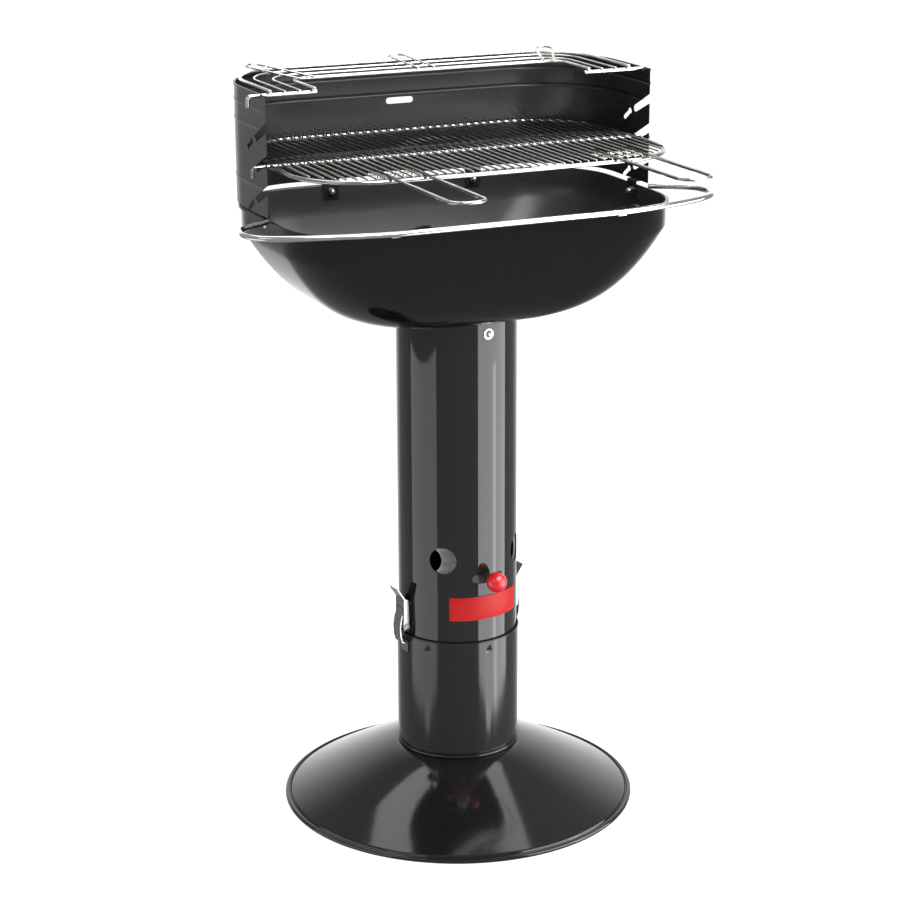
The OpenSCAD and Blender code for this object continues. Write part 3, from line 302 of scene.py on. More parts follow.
bolt_hole_half = 4.3 * mm
outline = [(bolt_hole_half, base_high), (40 * mm, base_high), (base_top - 3 * mm, base_high)]
for i in range(24):
    s = 0.9763 * i / 23
    outline.append((base_top + (base_skirt - base_top) * s,
                    base_low + (base_high - base_low) * (1 - s ** 1.15)))
for r, z in ((244.6, 8.2), (245.4, 7.2), (245.8, 6), (246.3, 5.2), (247, 4.8)):
    outline.append((r * mm, z * mm))
for i in range(15):
    a = math.radians(162 - 23.4 * i)
    outline.append((bead_at + bead * math.cos(a), bead_high + bead * math.sin(a)))
base_plate = lathe("base_plate_dome", outline, 160)
merge(base_plate)
give_wall(base_plate, 1.4 * mm)
smooth(base_plate, 50)
dress(base_plate, enamel("base_enamel", 0.06, 0.06, 0.05, 0.10), "base_enamel", "stand", "base_plate")
card_off(front_top, base_plate)

# The ash pot is a deep drawn cup with a beaded foot, a rolled lip and six dimples pressed in
# near the top for the column to stand on; one bolt holds it to the base plate.
pot_low, pot_high, pot_wall = 84 * mm, 262 * mm, 87.5 * mm
facing = 6.5
dimple_high, dimple_half, dimple_deep, dimples = 245.5 * mm, 7 * mm, 1.1 * mm, 6


def turn(angle):
    """Turns what points along X to this angle round the column, counted from the front."""
    return Matrix.Rotation(math.radians(angle - 90), 4, "Z")


def cut(piece, tools):
    """Cuts the tools out of a piece by a boolean and removes them."""
    for tool in tools:
        only(piece)
        saw = piece.modifiers.new("cut", "BOOLEAN")
        saw.operation, saw.object, saw.solver = "DIFFERENCE", tool, "EXACT"
        bpy.ops.object.modifier_apply(modifier="cut")
        bpy.data.objects.remove(tool)


outline = [(bolt_hole_half, pot_low + 1.5 * mm), (80 * mm, pot_low + 1.5 * mm)]
foot_bead, lip = 2.4 * mm, 1.3 * mm
for i in range(9):
    a = math.radians(-90 + 22.5 * i)
    outline.append((pot_wall - 1.5 * mm + foot_bead * math.cos(a),
                    pot_low + 2.45 * mm + foot_bead * math.sin(a)))
outline[-1] = (pot_wall, pot_low + 5.2 * mm)
outline += [(pot_wall, pot_low + 9 * mm), (pot_wall, pot_high - 21 * mm), (pot_wall, pot_high - 12 * mm),
            (pot_wall, pot_high - 4 * mm), (pot_wall, pot_high - 2.4 * mm)]
for i in range(7):
    a = math.radians(-40 + 36 * i)
    outline.append((pot_wall - 0.2 * mm + lip * math.cos(a), pot_high - 1.35 * mm + lip * math.sin(a)))
ash_pot = lathe("ash_pot_cup", outline, 144)
merge(ash_pot)
give_wall(ash_pot, 1.4 * mm)
smooth(ash_pot, 50)
dress(ash_pot, enamel("pot_enamel", 0.09, 0.08, 0.08, 0.06), "pot_enamel", "stand", "ash_pot")
card_off(front_top, ash_pot)
# the wall is divided finely round each dimple before it is pressed in
only(ash_pot)
bpy.ops.object.mode_set(mode="EDIT")
bpy.ops.mesh.select_all(action="DESELECT")
bpy.ops.object.mode_set(mode="OBJECT")
for face in ash_pot.data.polygons:
    at = math.degrees(math.atan2(face.center.x, -face.center.y)) - facing
    near = abs((at + 180 / dimples) % (360 / dimples) - 180 / dimples) < 6.2
    face.select = near and 240 * mm < face.center.z < 251 * mm
bpy.ops.object.mode_set(mode="EDIT")
bpy.ops.mesh.subdivide(number_cuts=5)
bpy.ops.object.mode_set(mode="OBJECT")
for i in range(dimples):
    a = math.radians(facing + 360 / dimples * i)
    out = Vector((math.sin(a), -math.cos(a), 0))
    middle = out * pot_wall + Vector((0, 0, dimple_high))
    for v in ash_pot.data.vertices:
        away = (v.co - middle).length
        if away < dimple_half:
            v.co -= out * dimple_deep * (1 + math.cos(math.pi * away / dimple_half)) / 2
smooth(ash_pot, 50)

# spangle: the frost-like crystals of hot-dip zinc, each a little lighter or duller than the next
spangle, given, made = group("zinc_spangle", [
    ("Light", "Color", (0.6, 0.62, 0.64, 1)), ("Dark", "Color", (0.36, 0.38, 0.4, 1)),
    ("Size", "Float", 120.0), ("Gloss", "Float", 0.3), ("Relief", "Float", 0.1)],
    [("Colour", "Color"), ("Roughness", "Float"), ("Normal", "Vector")])
work, wire_up = spangle.nodes, spangle.links.new
where = work.new("ShaderNodeTexCoord")
crystals = work.new("ShaderNodeTexVoronoi")
wire_up(where.outputs["Object"], crystals.inputs["Vector"])
wire_up(given.outputs["Size"], crystals.inputs["Scale"])
grey = work.new("ShaderNodeSeparateColor")
wire_up(crystals.outputs["Color"], grey.inputs[0])
tint = work.new("ShaderNodeMix")
tint.data_type = "RGBA"
wire_up(grey.outputs[0], tint.inputs["Factor"])
wire_up(given.outputs["Light"], tint.inputs["A"])
wire_up(given.outputs["Dark"], tint.inputs["B"])
wire_up(tint.outputs["Result"], made.inputs["Colour"])
rough = work.new("ShaderNodeMath")
rough.operation = "MULTIPLY_ADD"
wire_up(grey.outputs[1], rough.inputs[0])
rough.inputs[1].default_value = 0.18
wire_up(given.outputs["Gloss"], rough.inputs[2])
wire_up(rough.outputs[0], made.inputs["Roughness"])
bump = work.new("ShaderNodeBump")
bump.inputs["Distance"].default_value = 0.0005
wire_up(given.outputs["Relief"], bump.inputs["Strength"])
wire_up(grey.outputs[2], bump.inputs["Height"])
wire_up(bump.outputs["Normal"], made.inputs["Normal"])
zinc = material("zinc_plate", spangle, {
    "Light": (0.62, 0.62, 0.6, 1), "Dark": (0.5, 0.5, 0.49, 1), "Size": 700.0, "Gloss": 0.16,
    "Relief": 0.03}, metallic=1.0)


def finish_node(name, finish):
    """Puts a finish on a CAD node that stays as it is."""
    node[name].data.materials.clear()
    node[name].data.materials.append(finish)


finish_node("base_bolt", zinc)
finish_node("base_nut", zinc)

# The column is a rolled and welded tube with four round air holes, a slot for the damper and
# three bolt holes at the top; its enamel is the glossiest of all and mirrors the studio.
tube_out, tube_low, tube_high = 85 * mm, 249 * mm, 726.7 * mm
air_high, air_hole, air_angles = 383 * mm, 39 * mm, (-45, 135, 45, 225)
slot_high, slot_wide, slot_swing = 355 * mm, 13 * mm, 24.8
bolt_high, bolt_hole = 709 * mm, 6.5 * mm


def keep_round(piece, flat=0.6):
    """Gives the cut tube the clean normals of a round one, so its reflections run straight."""
    shell = piece.data
    normals = []
    for face in shell.polygons:
        for corner in face.loop_indices:
            spot = shell.vertices[shell.loops[corner].vertex_index].co
            out = Vector((spot.x, spot.y, 0)).normalized()
            lean_in = face.normal.dot(out)
            normals.append(out if lean_in > flat else -out if lean_in < -flat else face.normal.copy())
    for face in shell.polygons:
        face.use_smooth = True
    shell.normals_split_custom_set(normals)


def drill(angle, z, diameter):
    """A round cutter that points at the column's axis at this angle and height."""
    bpy.ops.object.select_all(action="DESELECT")
    bpy.ops.mesh.primitive_cylinder_add(vertices=48, radius=diameter / 2, depth=30 * mm)
    bit = bpy.context.object
    bit.data.transform(turn(angle) @ Matrix.Translation((tube_out, 0, z))
                       @ Matrix.Rotation(math.pi / 2, 4, "Y"))
    return bit


outline = [(tube_out, tube_low), (tube_out, slot_high - 20 * mm), (tube_out, air_high + 30 * mm),
           (tube_out, tube_high - 40 * mm), (tube_out, tube_high)]
column = lathe("column_tube_body", outline, 160)
merge(column)
give_wall(column, 1.5 * mm)
cutters = [drill(facing + a, air_high, air_hole) for a in air_angles]
cutters += [drill(facing + 120 * i, bolt_high, bolt_hole) for i in range(3)]
bpy.ops.object.select_all(action="DESELECT")
bpy.ops.mesh.primitive_cylinder_add(vertices=32, radius=slot_wide / 2, depth=30 * mm)
slot_tool = bpy.context.object
slot_tool.data.transform(Matrix.Translation((tube_out, 0, 0)) @ Matrix.Rotation(math.pi / 2, 4, "Y"))
slot_tool.data.transform(Matrix.Rotation(math.radians(-slot_swing / 2), 4, "Z"))
for i in range(13):
    part = slot_tool.copy()
    part.data = slot_tool.data.copy()
    bpy.context.collection.objects.link(part)
    part.data.transform(turn(facing) @ Matrix.Translation((0, 0, slot_high))
                        @ Matrix.Rotation(math.radians(slot_swing * i / 12), 4, "Z"))
    cutters.append(part)
bpy.data.objects.remove(slot_tool)
cut(column, cutters)
keep_round(column)
dress(column, enamel("column_enamel", 0.035, 0.02, 0.02, 0.02), "column_enamel", "stand", "column_tube")
card_off(front_top, column)

# The damper is a short galvanised sleeve turning inside the tube behind the air holes; a zinc
# stem through the slot carries a black bush and a round red knob.
sleeve_out, half_shut = 83.2 * mm, -15
sleeve = lathe("damper_sleeve_tube", [(sleeve_out, z * mm) for z in (331, 369, 407)], 144)
merge(sleeve)
give_wall(sleeve, 1.0 * mm)
cut(sleeve, [drill(facing + a + half_shut, air_high, air_hole) for a in air_angles])
keep_round(sleeve)
galvanised = material("galvanised_sleeve", spangle, {
    "Light": (0.36, 0.37, 0.37, 1), "Dark": (0.25, 0.26, 0.26, 1), "Size": 160.0,
    "Relief": 0.04}, metallic=1.0)
dress(sleeve, galvanised, "damper_zinc", "damper", "damper_sleeve")
for box in (front_top, low_boxes[1], low_boxes[2]):
    card_off(box, sleeve)
finish_node("damper_stem", zinc)
finish_node("damper_nut", zinc)

# moulded plastic has a slow sink and a very fine grain; the knob's red goes deeper than its skin
moulded, given, made = group("moulded_skin", [
    ("Colour", "Color", (0.5, 0.01, 0.02, 1)), ("Shade", "Color", (0.4, 0.01, 0.015, 1)),
    ("Gloss", "Float", 0.15), ("Grain", "Float", 0.03)],
    [("Colour", "Color"), ("Roughness", "Float"), ("Normal", "Vector")])
work, wire_up = moulded.nodes, moulded.links.new
where = work.new("ShaderNodeTexCoord")
flow = work.new("ShaderNodeTexNoise")
flow.inputs["Scale"].default_value, flow.inputs["Detail"].default_value = 60, 3
wire_up(where.outputs["Object"], flow.inputs["Vector"])
tint = work.new("ShaderNodeMix")
tint.data_type = "RGBA"
wire_up(flow.outputs["Fac"], tint.inputs["Factor"])
wire_up(given.outputs["Colour"], tint.inputs["A"])
wire_up(given.outputs["Shade"], tint.inputs["B"])
wire_up(tint.outputs["Result"], made.inputs["Colour"])
rough = work.new("ShaderNodeMath")
rough.operation = "MULTIPLY_ADD"
wire_up(flow.outputs["Fac"], rough.inputs[0])
rough.inputs[1].default_value = 0.08
wire_up(given.outputs["Gloss"], rough.inputs[2])
wire_up(rough.outputs[0], made.inputs["Roughness"])
fine = work.new("ShaderNodeTexNoise")
fine.inputs["Scale"].default_value = 1500
wire_up(where.outputs["Object"], fine.inputs["Vector"])
bump = work.new("ShaderNodeBump")
bump.inputs["Distance"].default_value = 0.0002
wire_up(given.outputs["Grain"], bump.inputs["Strength"])
wire_up(fine.outputs["Fac"], bump.inputs["Height"])
wire_up(bump.outputs["Normal"], made.inputs["Normal"])
red_plastic = material("red_knob_plastic", moulded, {
    "Colour": (0.46, 0.008, 0.013, 1), "Shade": (0.4, 0.006, 0.01, 1), "Gloss": 0.22,
    "Grain": 0.02}, coat=0.25)
black_plastic = material("black_bush_plastic", moulded, {
    "Colour": (0.012, 0.012, 0.013, 1), "Shade": (0.02, 0.02, 0.02, 1), "Gloss": 0.3, "Grain": 0.2})
finish_node("damper_bush", black_plastic)
knob_half, knob_flat, knob_out = 14.5 * mm, -11.5 * mm, 107 * mm
bpy.ops.object.select_all(action="DESELECT")
bpy.ops.mesh.primitive_uv_sphere_add(segments=48, ring_count=32, radius=knob_half)
knob = bpy.context.object
knob.name = "damper_knob_ball"
for v in knob.data.vertices:
    v.co.z = max(v.co.z, knob_flat)
knob.data.transform(turn(facing) @ Matrix.Translation((knob_out, 0, slot_high))
                    @ Matrix.Rotation(math.pi / 2, 4, "Y"))
merge(knob)
smooth(knob, 40)
dress(knob, red_plastic, "knob_red", "damper", "damper_knob")

# The front plate is a thin strip of red-enamelled sheet, bent round the column just under the
# damper's slot and glued on; its face stays bare.
plate_low, plate_high, plate_out, plate_reach = 294.5 * mm, 329.5 * mm, 85.9 * mm, 38.8
red_enamel = material("red_plate_enamel", moulded, {
    "Colour": (0.42, 0.008, 0.008, 1), "Shade": (0.38, 0.007, 0.007, 1), "Gloss": 0.38,
    "Grain": 0.03}, ior=1.28)
front_plate = lathe("front_plate_strip", [(plate_out, plate_low), (plate_out, plate_high)], 480)
bpy.ops.object.mode_set(mode="EDIT")
bpy.ops.mesh.select_all(action="DESELECT")
bpy.ops.object.mode_set(mode="OBJECT")
for face in front_plate.data.polygons:
    at = math.degrees(math.atan2(face.center.x, -face.center.y)) - facing
    face.select = abs((at + 180) % 360 - 180) > plate_reach
bpy.ops.object.mode_set(mode="EDIT")
bpy.ops.mesh.select_mode(type="FACE")
bpy.ops.mesh.delete(type="FACE")
bpy.ops.mesh.select_mode(type="VERT")
bpy.ops.object.mode_set(mode="OBJECT")
merge(front_plate)
face = front_plate.data.polygons[0]
if face.normal.dot(Vector((face.center.x, face.center.y, 0))) <= 0:
    front_plate.data.flip_normals()
give_wall(front_plate, 0.7 * mm, even=False)
round_off = front_plate.modifiers.new("edge", "BEVEL")
round_off.width, round_off.segments, round_off.limit_method = 0.2 * mm, 2, "ANGLE"
bpy.ops.object.modifier_apply(modifier="edge")
smooth(front_plate, 30)
dress(front_plate, red_enamel, "plate_red", "stand", "front_plate")
card_off(front_top, front_plate)

# Over-centre latches hold the ash pot up against the column: a riveted plate with two ears, a
# polished lever on a pin, and a bail on the lever that hooks under the catch on the pot.
latch_steel = material("latch_steel", spangle, {
    "Light": (0.36, 0.355, 0.34, 1), "Dark": (0.3, 0.295, 0.28, 1), "Size": 400.0, "Gloss": 0.1,
    "Relief": 0.01}, metallic=1.0)
for name in ("catches", "latch_plates", "lever_pins", "left_lever", "left_bail_pin", "left_bail",
             "right_lever", "right_bail_pin", "right_bail"):
    finish_node(name, latch_steel)
    card_off(low_boxes[2], node[name])

# Three zinc-plated bolts with washers outside and nuts inside hold the bowl's neck in the top
# of the column; they are standard fasteners, so they keep the CAD model's shape.
for name in ("neck_bolts", "neck_washers", "neck_nuts"):
    finish_node(name, zinc)
    card_off(low_boxes[2], node[name])

# The bowl is deep drawn from one sheet: an upright wall under a turned hem, a curved dish that
# runs from the oblong rim to a round neck, glossy outside and duller inside.
rim_high, dish_low, dish_deep, neck_low = 880 * mm, 727 * mm, 118 * mm, 692.3 * mm
bowl_half, bowl_front, bowl_back, neck_out = 282.5 * mm, 168 * mm, 190 * mm, 83.1 * mm
bowl_sheet, hem_wide, around = 1.5 * mm, 4 * mm, 192


def oblong(k, inset):
    """A point of the bowl's oblong section, k from 0 to 1 round it from the middle of the front."""
    rf, rb = 101 * mm - inset, 113 * mm - inset
    x, yf, yb = bowl_half - inset, -bowl_front + inset, bowl_back - inset
    spans = [x - rf, rf * math.pi / 2, yb - rb - yf - rf, rb * math.pi / 2, x - rb]
    t = (k % 1) * 2
    mirror = 1
    if t > 1:
        t, mirror = 2 - t, -1
    go = t * sum(spans)
    for i, span in enumerate(spans):
        if go <= span or i == 4:
            f = min(go / span, 1)
            break
        go -= span
    if i == 0:
        p, a = (f * (x - rf), yf), 0
    elif i == 1:
        a = 90 * f
        p = (x - rf + rf * math.sin(math.radians(a)), yf + rf - rf * math.cos(math.radians(a)))
    elif i == 2:
        p, a = (x, yf + rf + f * span), 90
    elif i == 3:
        a = 90 + 90 * f
        p = (x - rb + rb * math.sin(math.radians(a)), yb - rb - rb * math.cos(math.radians(a)))
    else:
        p, a = ((x - rb) * (1 - f), yb), 180
    return mirror * p[0], p[1], mirror * (a * 0.8 + t * 180 * 0.2)


def bowl_ring(inset, s, z, inwards=0.0):
    """One ring of the bowl at height z: the rim's outline at s = 1, the round neck's at s = 0."""
    ring = []
    for j in range(around):
        x, y, a = oblong(j / around, inset)
        c, n = math.radians(a), neck_out * (1 - s) - inwards
        ring.append((s * x + n * math.sin(c), s * y - n * math.cos(c), z))
    return ring


def draw_rings(name, rings):
    """Starts from a circle and extrudes it ring after ring, each laid to its own outline."""
    bpy.ops.object.select_all(action="DESELECT")
    bpy.ops.mesh.primitive_circle_add(vertices=len(rings[0]), radius=0.1)
    shell = bpy.context.object
    shell.name = name
    bpy.ops.object.mode_set(mode="EDIT")
    bpy.ops.mesh.select_all(action="SELECT")
    for ring in rings[1:]:
        bpy.ops.mesh.extrude_region_move(TRANSFORM_OT_translate={"value": (0, 0, 0.001)})
    bpy.ops.object.mode_set(mode="OBJECT")
    spots = [p for ring in rings for p in ring]
    for v, p in zip(shell.data.vertices, spots):
        v.co = p
    return shell


rings = [bowl_ring(0.2 * mm, 1, rim_high - 4 * mm), bowl_ring(0, 1, rim_high - 3 * mm),
         bowl_ring(0, 1, rim_high - 1.3 * mm), bowl_ring(0.35 * mm, 1, rim_high - 0.45 * mm),
         bowl_ring(1.1 * mm, 1, rim_high), bowl_ring(3.6 * mm, 1, rim_high - 0.1 * mm),
         bowl_ring(4.7 * mm, 1, rim_high - 0.5 * mm), bowl_ring(5.35 * mm, 1, rim_high - 1.4 * mm),
         bowl_ring(5.5 * mm, 1, rim_high - 3 * mm), bowl_ring(5.5 * mm, 1, rim_high - 20 * mm)]
for i in range(33):
    s = 1 - i / 32
    z = dish_low + dish_deep * s ** 3
    slope = 3 * dish_deep * s * s / (bowl_half - hem_wide - neck_out)
    q = math.sqrt(1 + slope * slope)
    rings.append(bowl_ring(hem_wide, s, z + bowl_sheet / q, bowl_sheet * slope / q))
for z in (dish_low - 1.2 * mm, dish_low - 4 * mm, neck_low):
    rings.append(bowl_ring(0, 0, z, bowl_sheet))
bowl = draw_rings("bowl_pressing", rings)
merge(bowl)
face = bowl.data.polygons[0]
if face.normal.dot(Vector((face.center.x, face.center.y, 0))) < 0:
    bowl.data.flip_normals()
give_wall(bowl, bowl_sheet)
cut(bowl, [drill(facing + 120 * i, bolt_high, bolt_hole) for i in range(3)])
smooth(bowl, 40)
# painted shade: the bowl's outside is a darker copy of the same black enamel, 0.003 against 0.011 on the
# other pieces
bowl_enamel = enamel("bowl_enamel", 0.07, 0.05, 0.04, 0.03, (0.003, 0.003, 0.003, 1))
dress(bowl, bowl_enamel, "bowl_enamel", "stand", "bowl")
for box in low_boxes:
    card_off(box, bowl)
# painted sheen: the inside is a ten times lighter copy of the enamel with heavy upward dusting, standing in
# for the overhead light falling in it
bowl.data.materials.append(enamel("bowl_inside_enamel_painted_sheen", 0.24, 0.16, 0.12, 0.3, (0.03, 0.03, 0.03, 1)))
for face in bowl.data.polygons:
    inward = Vector((face.center.x, face.center.y, 0)).dot(face.normal) < 0.01 and face.normal.z > -0.3
    face.material_index = 1 if inward and face.center.z < rim_high - 2 * mm else 0

# The charcoal grate lies on the slope of the bowl, a rim of rod with wires welded across it; it
# is dull steel, darkened by the fire.
iron = material("grate_wire", spangle, {
    "Light": (0.32, 0.32, 0.32, 1), "Dark": (0.2, 0.2, 0.2, 1), "Size": 300.0, "Gloss": 0.3, "Relief": 0.1},
    metallic=1.0)
finish_node("charcoal_rim", iron)
finish_node("charcoal_wires", iron)

# The windshield is a strip of thinner sheet bent to a U, its top edge rolled and three beads
# pressed along it; each front edge has sloping notches for the cooking grid's crossbar.
shield_half, shield_back, shield_front, shield_r = 285 * mm, 193 * mm, 29 * mm, 122 * mm
shield_low, shield_high, shield_sheet, foot_sheet = 885 * mm, 1047 * mm, 0.8 * mm, 1.2 * mm
bead_heights, roll = (923, 1001, 1026), 1.75 * mm
profile = [(0, shield_low)]
for high in bead_heights:
    for dz, out in ((-4, 0), (-2.2, 0.15), (-1.2, 0.7), (0, 1.0), (1.2, 0.7), (2.2, 0.15), (4, 0)):
        profile.append((out * mm * 0.95, (high + dz) * mm))
profile += [(0, 1040 * mm), (0, 1043.6 * mm)]
for i in range(10):
    a = math.radians(-40 + 26 * i)
    profile.append((-0.6 * mm + roll * math.cos(a), 1045.2 * mm + roll * math.sin(a)))
line = bpy.data.meshes.new("windshield_sheet")
line.from_pydata([(-shield_half - out, -shield_front, z) for out, z in profile],
                 [(i, i + 1) for i in range(len(profile) - 1)], [])
shield = bpy.data.objects.new("windshield_sheet", line)
bpy.context.collection.objects.link(shield)
only(shield)
bpy.ops.object.mode_set(mode="EDIT")
bpy.ops.mesh.select_all(action="SELECT")
side_run = shield_back - shield_r + shield_front
bpy.ops.mesh.extrude_region_move(TRANSFORM_OT_translate={"value": (0, side_run, 0)})
bpy.ops.mesh.spin(steps=24, angle=math.pi / 2, axis=(0, 0, 1),
                  center=(-shield_half + shield_r, shield_back - shield_r, 0))
bpy.ops.mesh.extrude_region_move(TRANSFORM_OT_translate={"value": (2 * (shield_half - shield_r), 0, 0)})
bpy.ops.mesh.spin(steps=24, angle=math.pi / 2, axis=(0, 0, 1),
                  center=(shield_half - shield_r, shield_back - shield_r, 0))
bpy.ops.mesh.extrude_region_move(TRANSFORM_OT_translate={"value": (0, -side_run, 0)})
bpy.ops.object.mode_set(mode="OBJECT")
merge(shield)
if min(shield.data.polygons, key=lambda f: f.center.x).normal.x > 0:
    shield.data.flip_normals()
give_wall(shield, shield_sheet, even=False)


def slab(name, corners, x0, x1):
    """A flat cutter: an outline in Y and Z, drawn out along X."""
    outline = bpy.data.meshes.new(name)
    outline.from_pydata([(x0, y, z) for y, z in corners], [], [tuple(range(len(corners)))])
    block = bpy.data.objects.new(name, outline)
    bpy.context.collection.objects.link(block)
    only(block)
    bpy.ops.object.mode_set(mode="EDIT")
    bpy.ops.mesh.select_all(action="SELECT")
    bpy.ops.mesh.extrude_region_move(TRANSFORM_OT_translate={"value": (x1 - x0, 0, 0)})
    bpy.ops.mesh.select_all(action="SELECT")
    bpy.ops.mesh.normals_make_consistent(inside=False)
    bpy.ops.object.mode_set(mode="OBJECT")
    return block


def round_end(y, z, r, start, end, steps=10):
    """Points on an arc about y, z from one angle to another."""
    return [(y + r * math.cos(math.radians(start + (end - start) * i / steps)),
             z + r * math.sin(math.radians(start + (end - start) * i / steps))) for i in range(steps + 1)]


# a sloping notch in both front edges for each height of the grid, a keyhole of a round hole and a
# slot behind the top and bottom ones, and a small notch in the top edge for the rack's end bars
notch_slope, notch_half, grid_drops = math.radians(26.6), 5 * mm, (61.5, 102.6, 144)
notches = []
for drop in grid_drops:
    seat = Vector((11 * mm, shield_high - drop * mm))
    along = Vector((-math.cos(notch_slope), math.sin(notch_slope))) * 60 * mm
    across = Vector((math.sin(notch_slope), math.cos(notch_slope))) * notch_half
    notches.append(round_end(*seat, notch_half, -116.6, 63.4) + [
        tuple(seat + across + along), tuple(seat - across + along - Vector((0, 3 * mm)))])
for drop in (grid_drops[0], grid_drops[2]):
    z = shield_high - (drop + 6.5) * mm
    notches.append(round_end(27 * mm, z, 5 * mm, -60, 200, 16))
    notches.append(round_end(42 * mm, z - 10.1 * mm, 3.25 * mm, -126, 54, 8) +
                   round_end(31 * mm, z - 2.8 * mm, 3.25 * mm, 54, 234, 8))
notches.append([(-11 * mm, 1060 * mm)] + round_end(-8 * mm, 1044.2 * mm, 3 * mm, 180, 360, 8) +
               [(-5 * mm, 1060 * mm)])
cut(shield, [slab("notch", corners, -0.31, 0.31) for corners in notches])
bpy.ops.object.select_all(action="DESELECT")
bpy.ops.mesh.primitive_cylinder_add(vertices=32, radius=4.5 * mm, depth=0.06)
peep = bpy.context.object
for v in peep.data.vertices:
    v.co.x += 16.5 * mm if v.co.x > 0.0001 else -16.5 * mm if v.co.x < -0.0001 else 0
peep.data.transform(Matrix.Translation((0, shield_back, 991 * mm)) @ Matrix.Rotation(math.pi / 2, 4, "X"))
cut(shield, [peep])


def shield_foot(reach):
    """A tab that stands in by this much over the bowl's rim and drops down inside its wall."""
    bpy.ops.object.select_all(action="DESELECT")
    bpy.ops.mesh.primitive_plane_add(size=1)
    foot = bpy.context.object
    foot.data.transform(Matrix.Scale(foot_wide, 4, (0, 1, 0)))
    bpy.ops.object.mode_set(mode="EDIT")
    bpy.ops.mesh.select_all(action="DESELECT")
    bpy.ops.object.mode_set(mode="OBJECT")
    for edge in foot.data.edges:
        a, b = (foot.data.vertices[i].co for i in edge.vertices)
        edge.select = a.x < 0 and b.x < 0
    bpy.ops.object.mode_set(mode="EDIT")
    bpy.ops.mesh.extrude_region_move(TRANSFORM_OT_translate={"value": (0, 0, -27 * mm)})
    bpy.ops.object.mode_set(mode="OBJECT")
    for v in foot.data.vertices:
        narrower, z = (0.86, foot_low) if v.co.z < -0.001 else (1, foot_high)
        v.co = (-3 * mm if v.co.x < 0 else reach, v.co.y * narrower, z)
    return foot


foot_wide, foot_high, foot_low = 26 * mm, 886.2 * mm, 858 * mm
feet = []
for x, y, angle, reach in ((-111, 186, 90, 6.4), (111, 186, 90, 6.4),
                           (-278.5, 3, 180, 5.9), (278.5, 3, 0, 5.9)):
    foot = shield_foot(reach * mm)
    foot.data.transform(Matrix.Translation((x * mm, y * mm, 0))
                        @ Matrix.Rotation(math.radians(angle), 4, "Z"))
    merge(foot)
    bend_tab = foot.modifiers.new("bend", "BEVEL")
    bend_tab.width, bend_tab.segments = 2 * mm, 4
    bpy.ops.object.modifier_apply(modifier="bend")
    if max(foot.data.polygons, key=lambda f: f.center.z).normal.z < 0:
        foot.data.flip_normals()
    give_wall(foot, foot_sheet, even=False)
    feet.append(foot)
bpy.ops.object.select_all(action="DESELECT")
for foot in feet:
    foot.select_set(True)
shield.select_set(True)
bpy.context.view_layer.objects.active = shield
bpy.ops.object.join()
shield = bpy.context.object
smooth(shield, 35)
shield_enamel = enamel("shield_enamel", 0.2, 0.12, 0.10, 0.2, (0.013, 0.013, 0.0135, 1))
dress(shield, shield_enamel, "shield_enamel", "stand", "windshield")
card_off(low_boxes[0], shield)
card_off(front_fill, shield)
for name in ("shield_bolts", "shield_nuts"):
    finish_node(name, zinc)
    card_off(low_boxes[2], node[name])

# The rail is one nickel-plated rod, bent round the bowl's front into a towel and tool rail; two
# flat lugs weld it under the hem, and two black pegs reach over the rim into the bowl.
rail_high = 881

# plated wire: bright nickel with faint drawing lines and slightly yellow, duller patches
plate, given, made = group("plated_wire", [
    ("Bright", "Color", (0.74, 0.73, 0.70, 1)), ("Dull", "Color", (0.55, 0.54, 0.5, 1)),
    ("Gloss", "Float", 0.1), ("Lines", "Float", 0.05)],
    [("Colour", "Color"), ("Roughness", "Float"), ("Normal", "Vector")])
work, wire_up = plate.nodes, plate.links.new
where = work.new("ShaderNodeTexCoord")
stain = work.new("ShaderNodeTexNoise")
stain.inputs["Scale"].default_value, stain.inputs["Detail"].default_value = 35, 4
wire_up(where.outputs["Object"], stain.inputs["Vector"])
spots = work.new("ShaderNodeMapRange")
spots.inputs["From Min"].default_value, spots.inputs["From Max"].default_value = 0.45, 0.8
wire_up(stain.outputs["Fac"], spots.inputs["Value"])
tint = work.new("ShaderNodeMix")
tint.data_type = "RGBA"
wire_up(spots.outputs[0], tint.inputs["Factor"])
wire_up(given.outputs["Bright"], tint.inputs["A"])
wire_up(given.outputs["Dull"], tint.inputs["B"])
wire_up(tint.outputs["Result"], made.inputs["Colour"])
rough = work.new("ShaderNodeMath")
rough.operation = "MULTIPLY_ADD"
wire_up(spots.outputs[0], rough.inputs[0])
rough.inputs[1].default_value = 0.2
wire_up(given.outputs["Gloss"], rough.inputs[2])
wire_up(rough.outputs[0], made.inputs["Roughness"])
draw = work.new("ShaderNodeTexNoise")
draw.inputs["Scale"].default_value, draw.inputs["Detail"].default_value = 1200, 2
wire_up(where.outputs["Object"], draw.inputs["Vector"])
bump = work.new("ShaderNodeBump")
bump.inputs["Distance"].default_value = 0.0001
wire_up(given.outputs["Lines"], bump.inputs["Strength"])
wire_up(draw.outputs["Fac"], bump.inputs["Height"])
wire_up(bump.outputs["Normal"], made.inputs["Normal"])


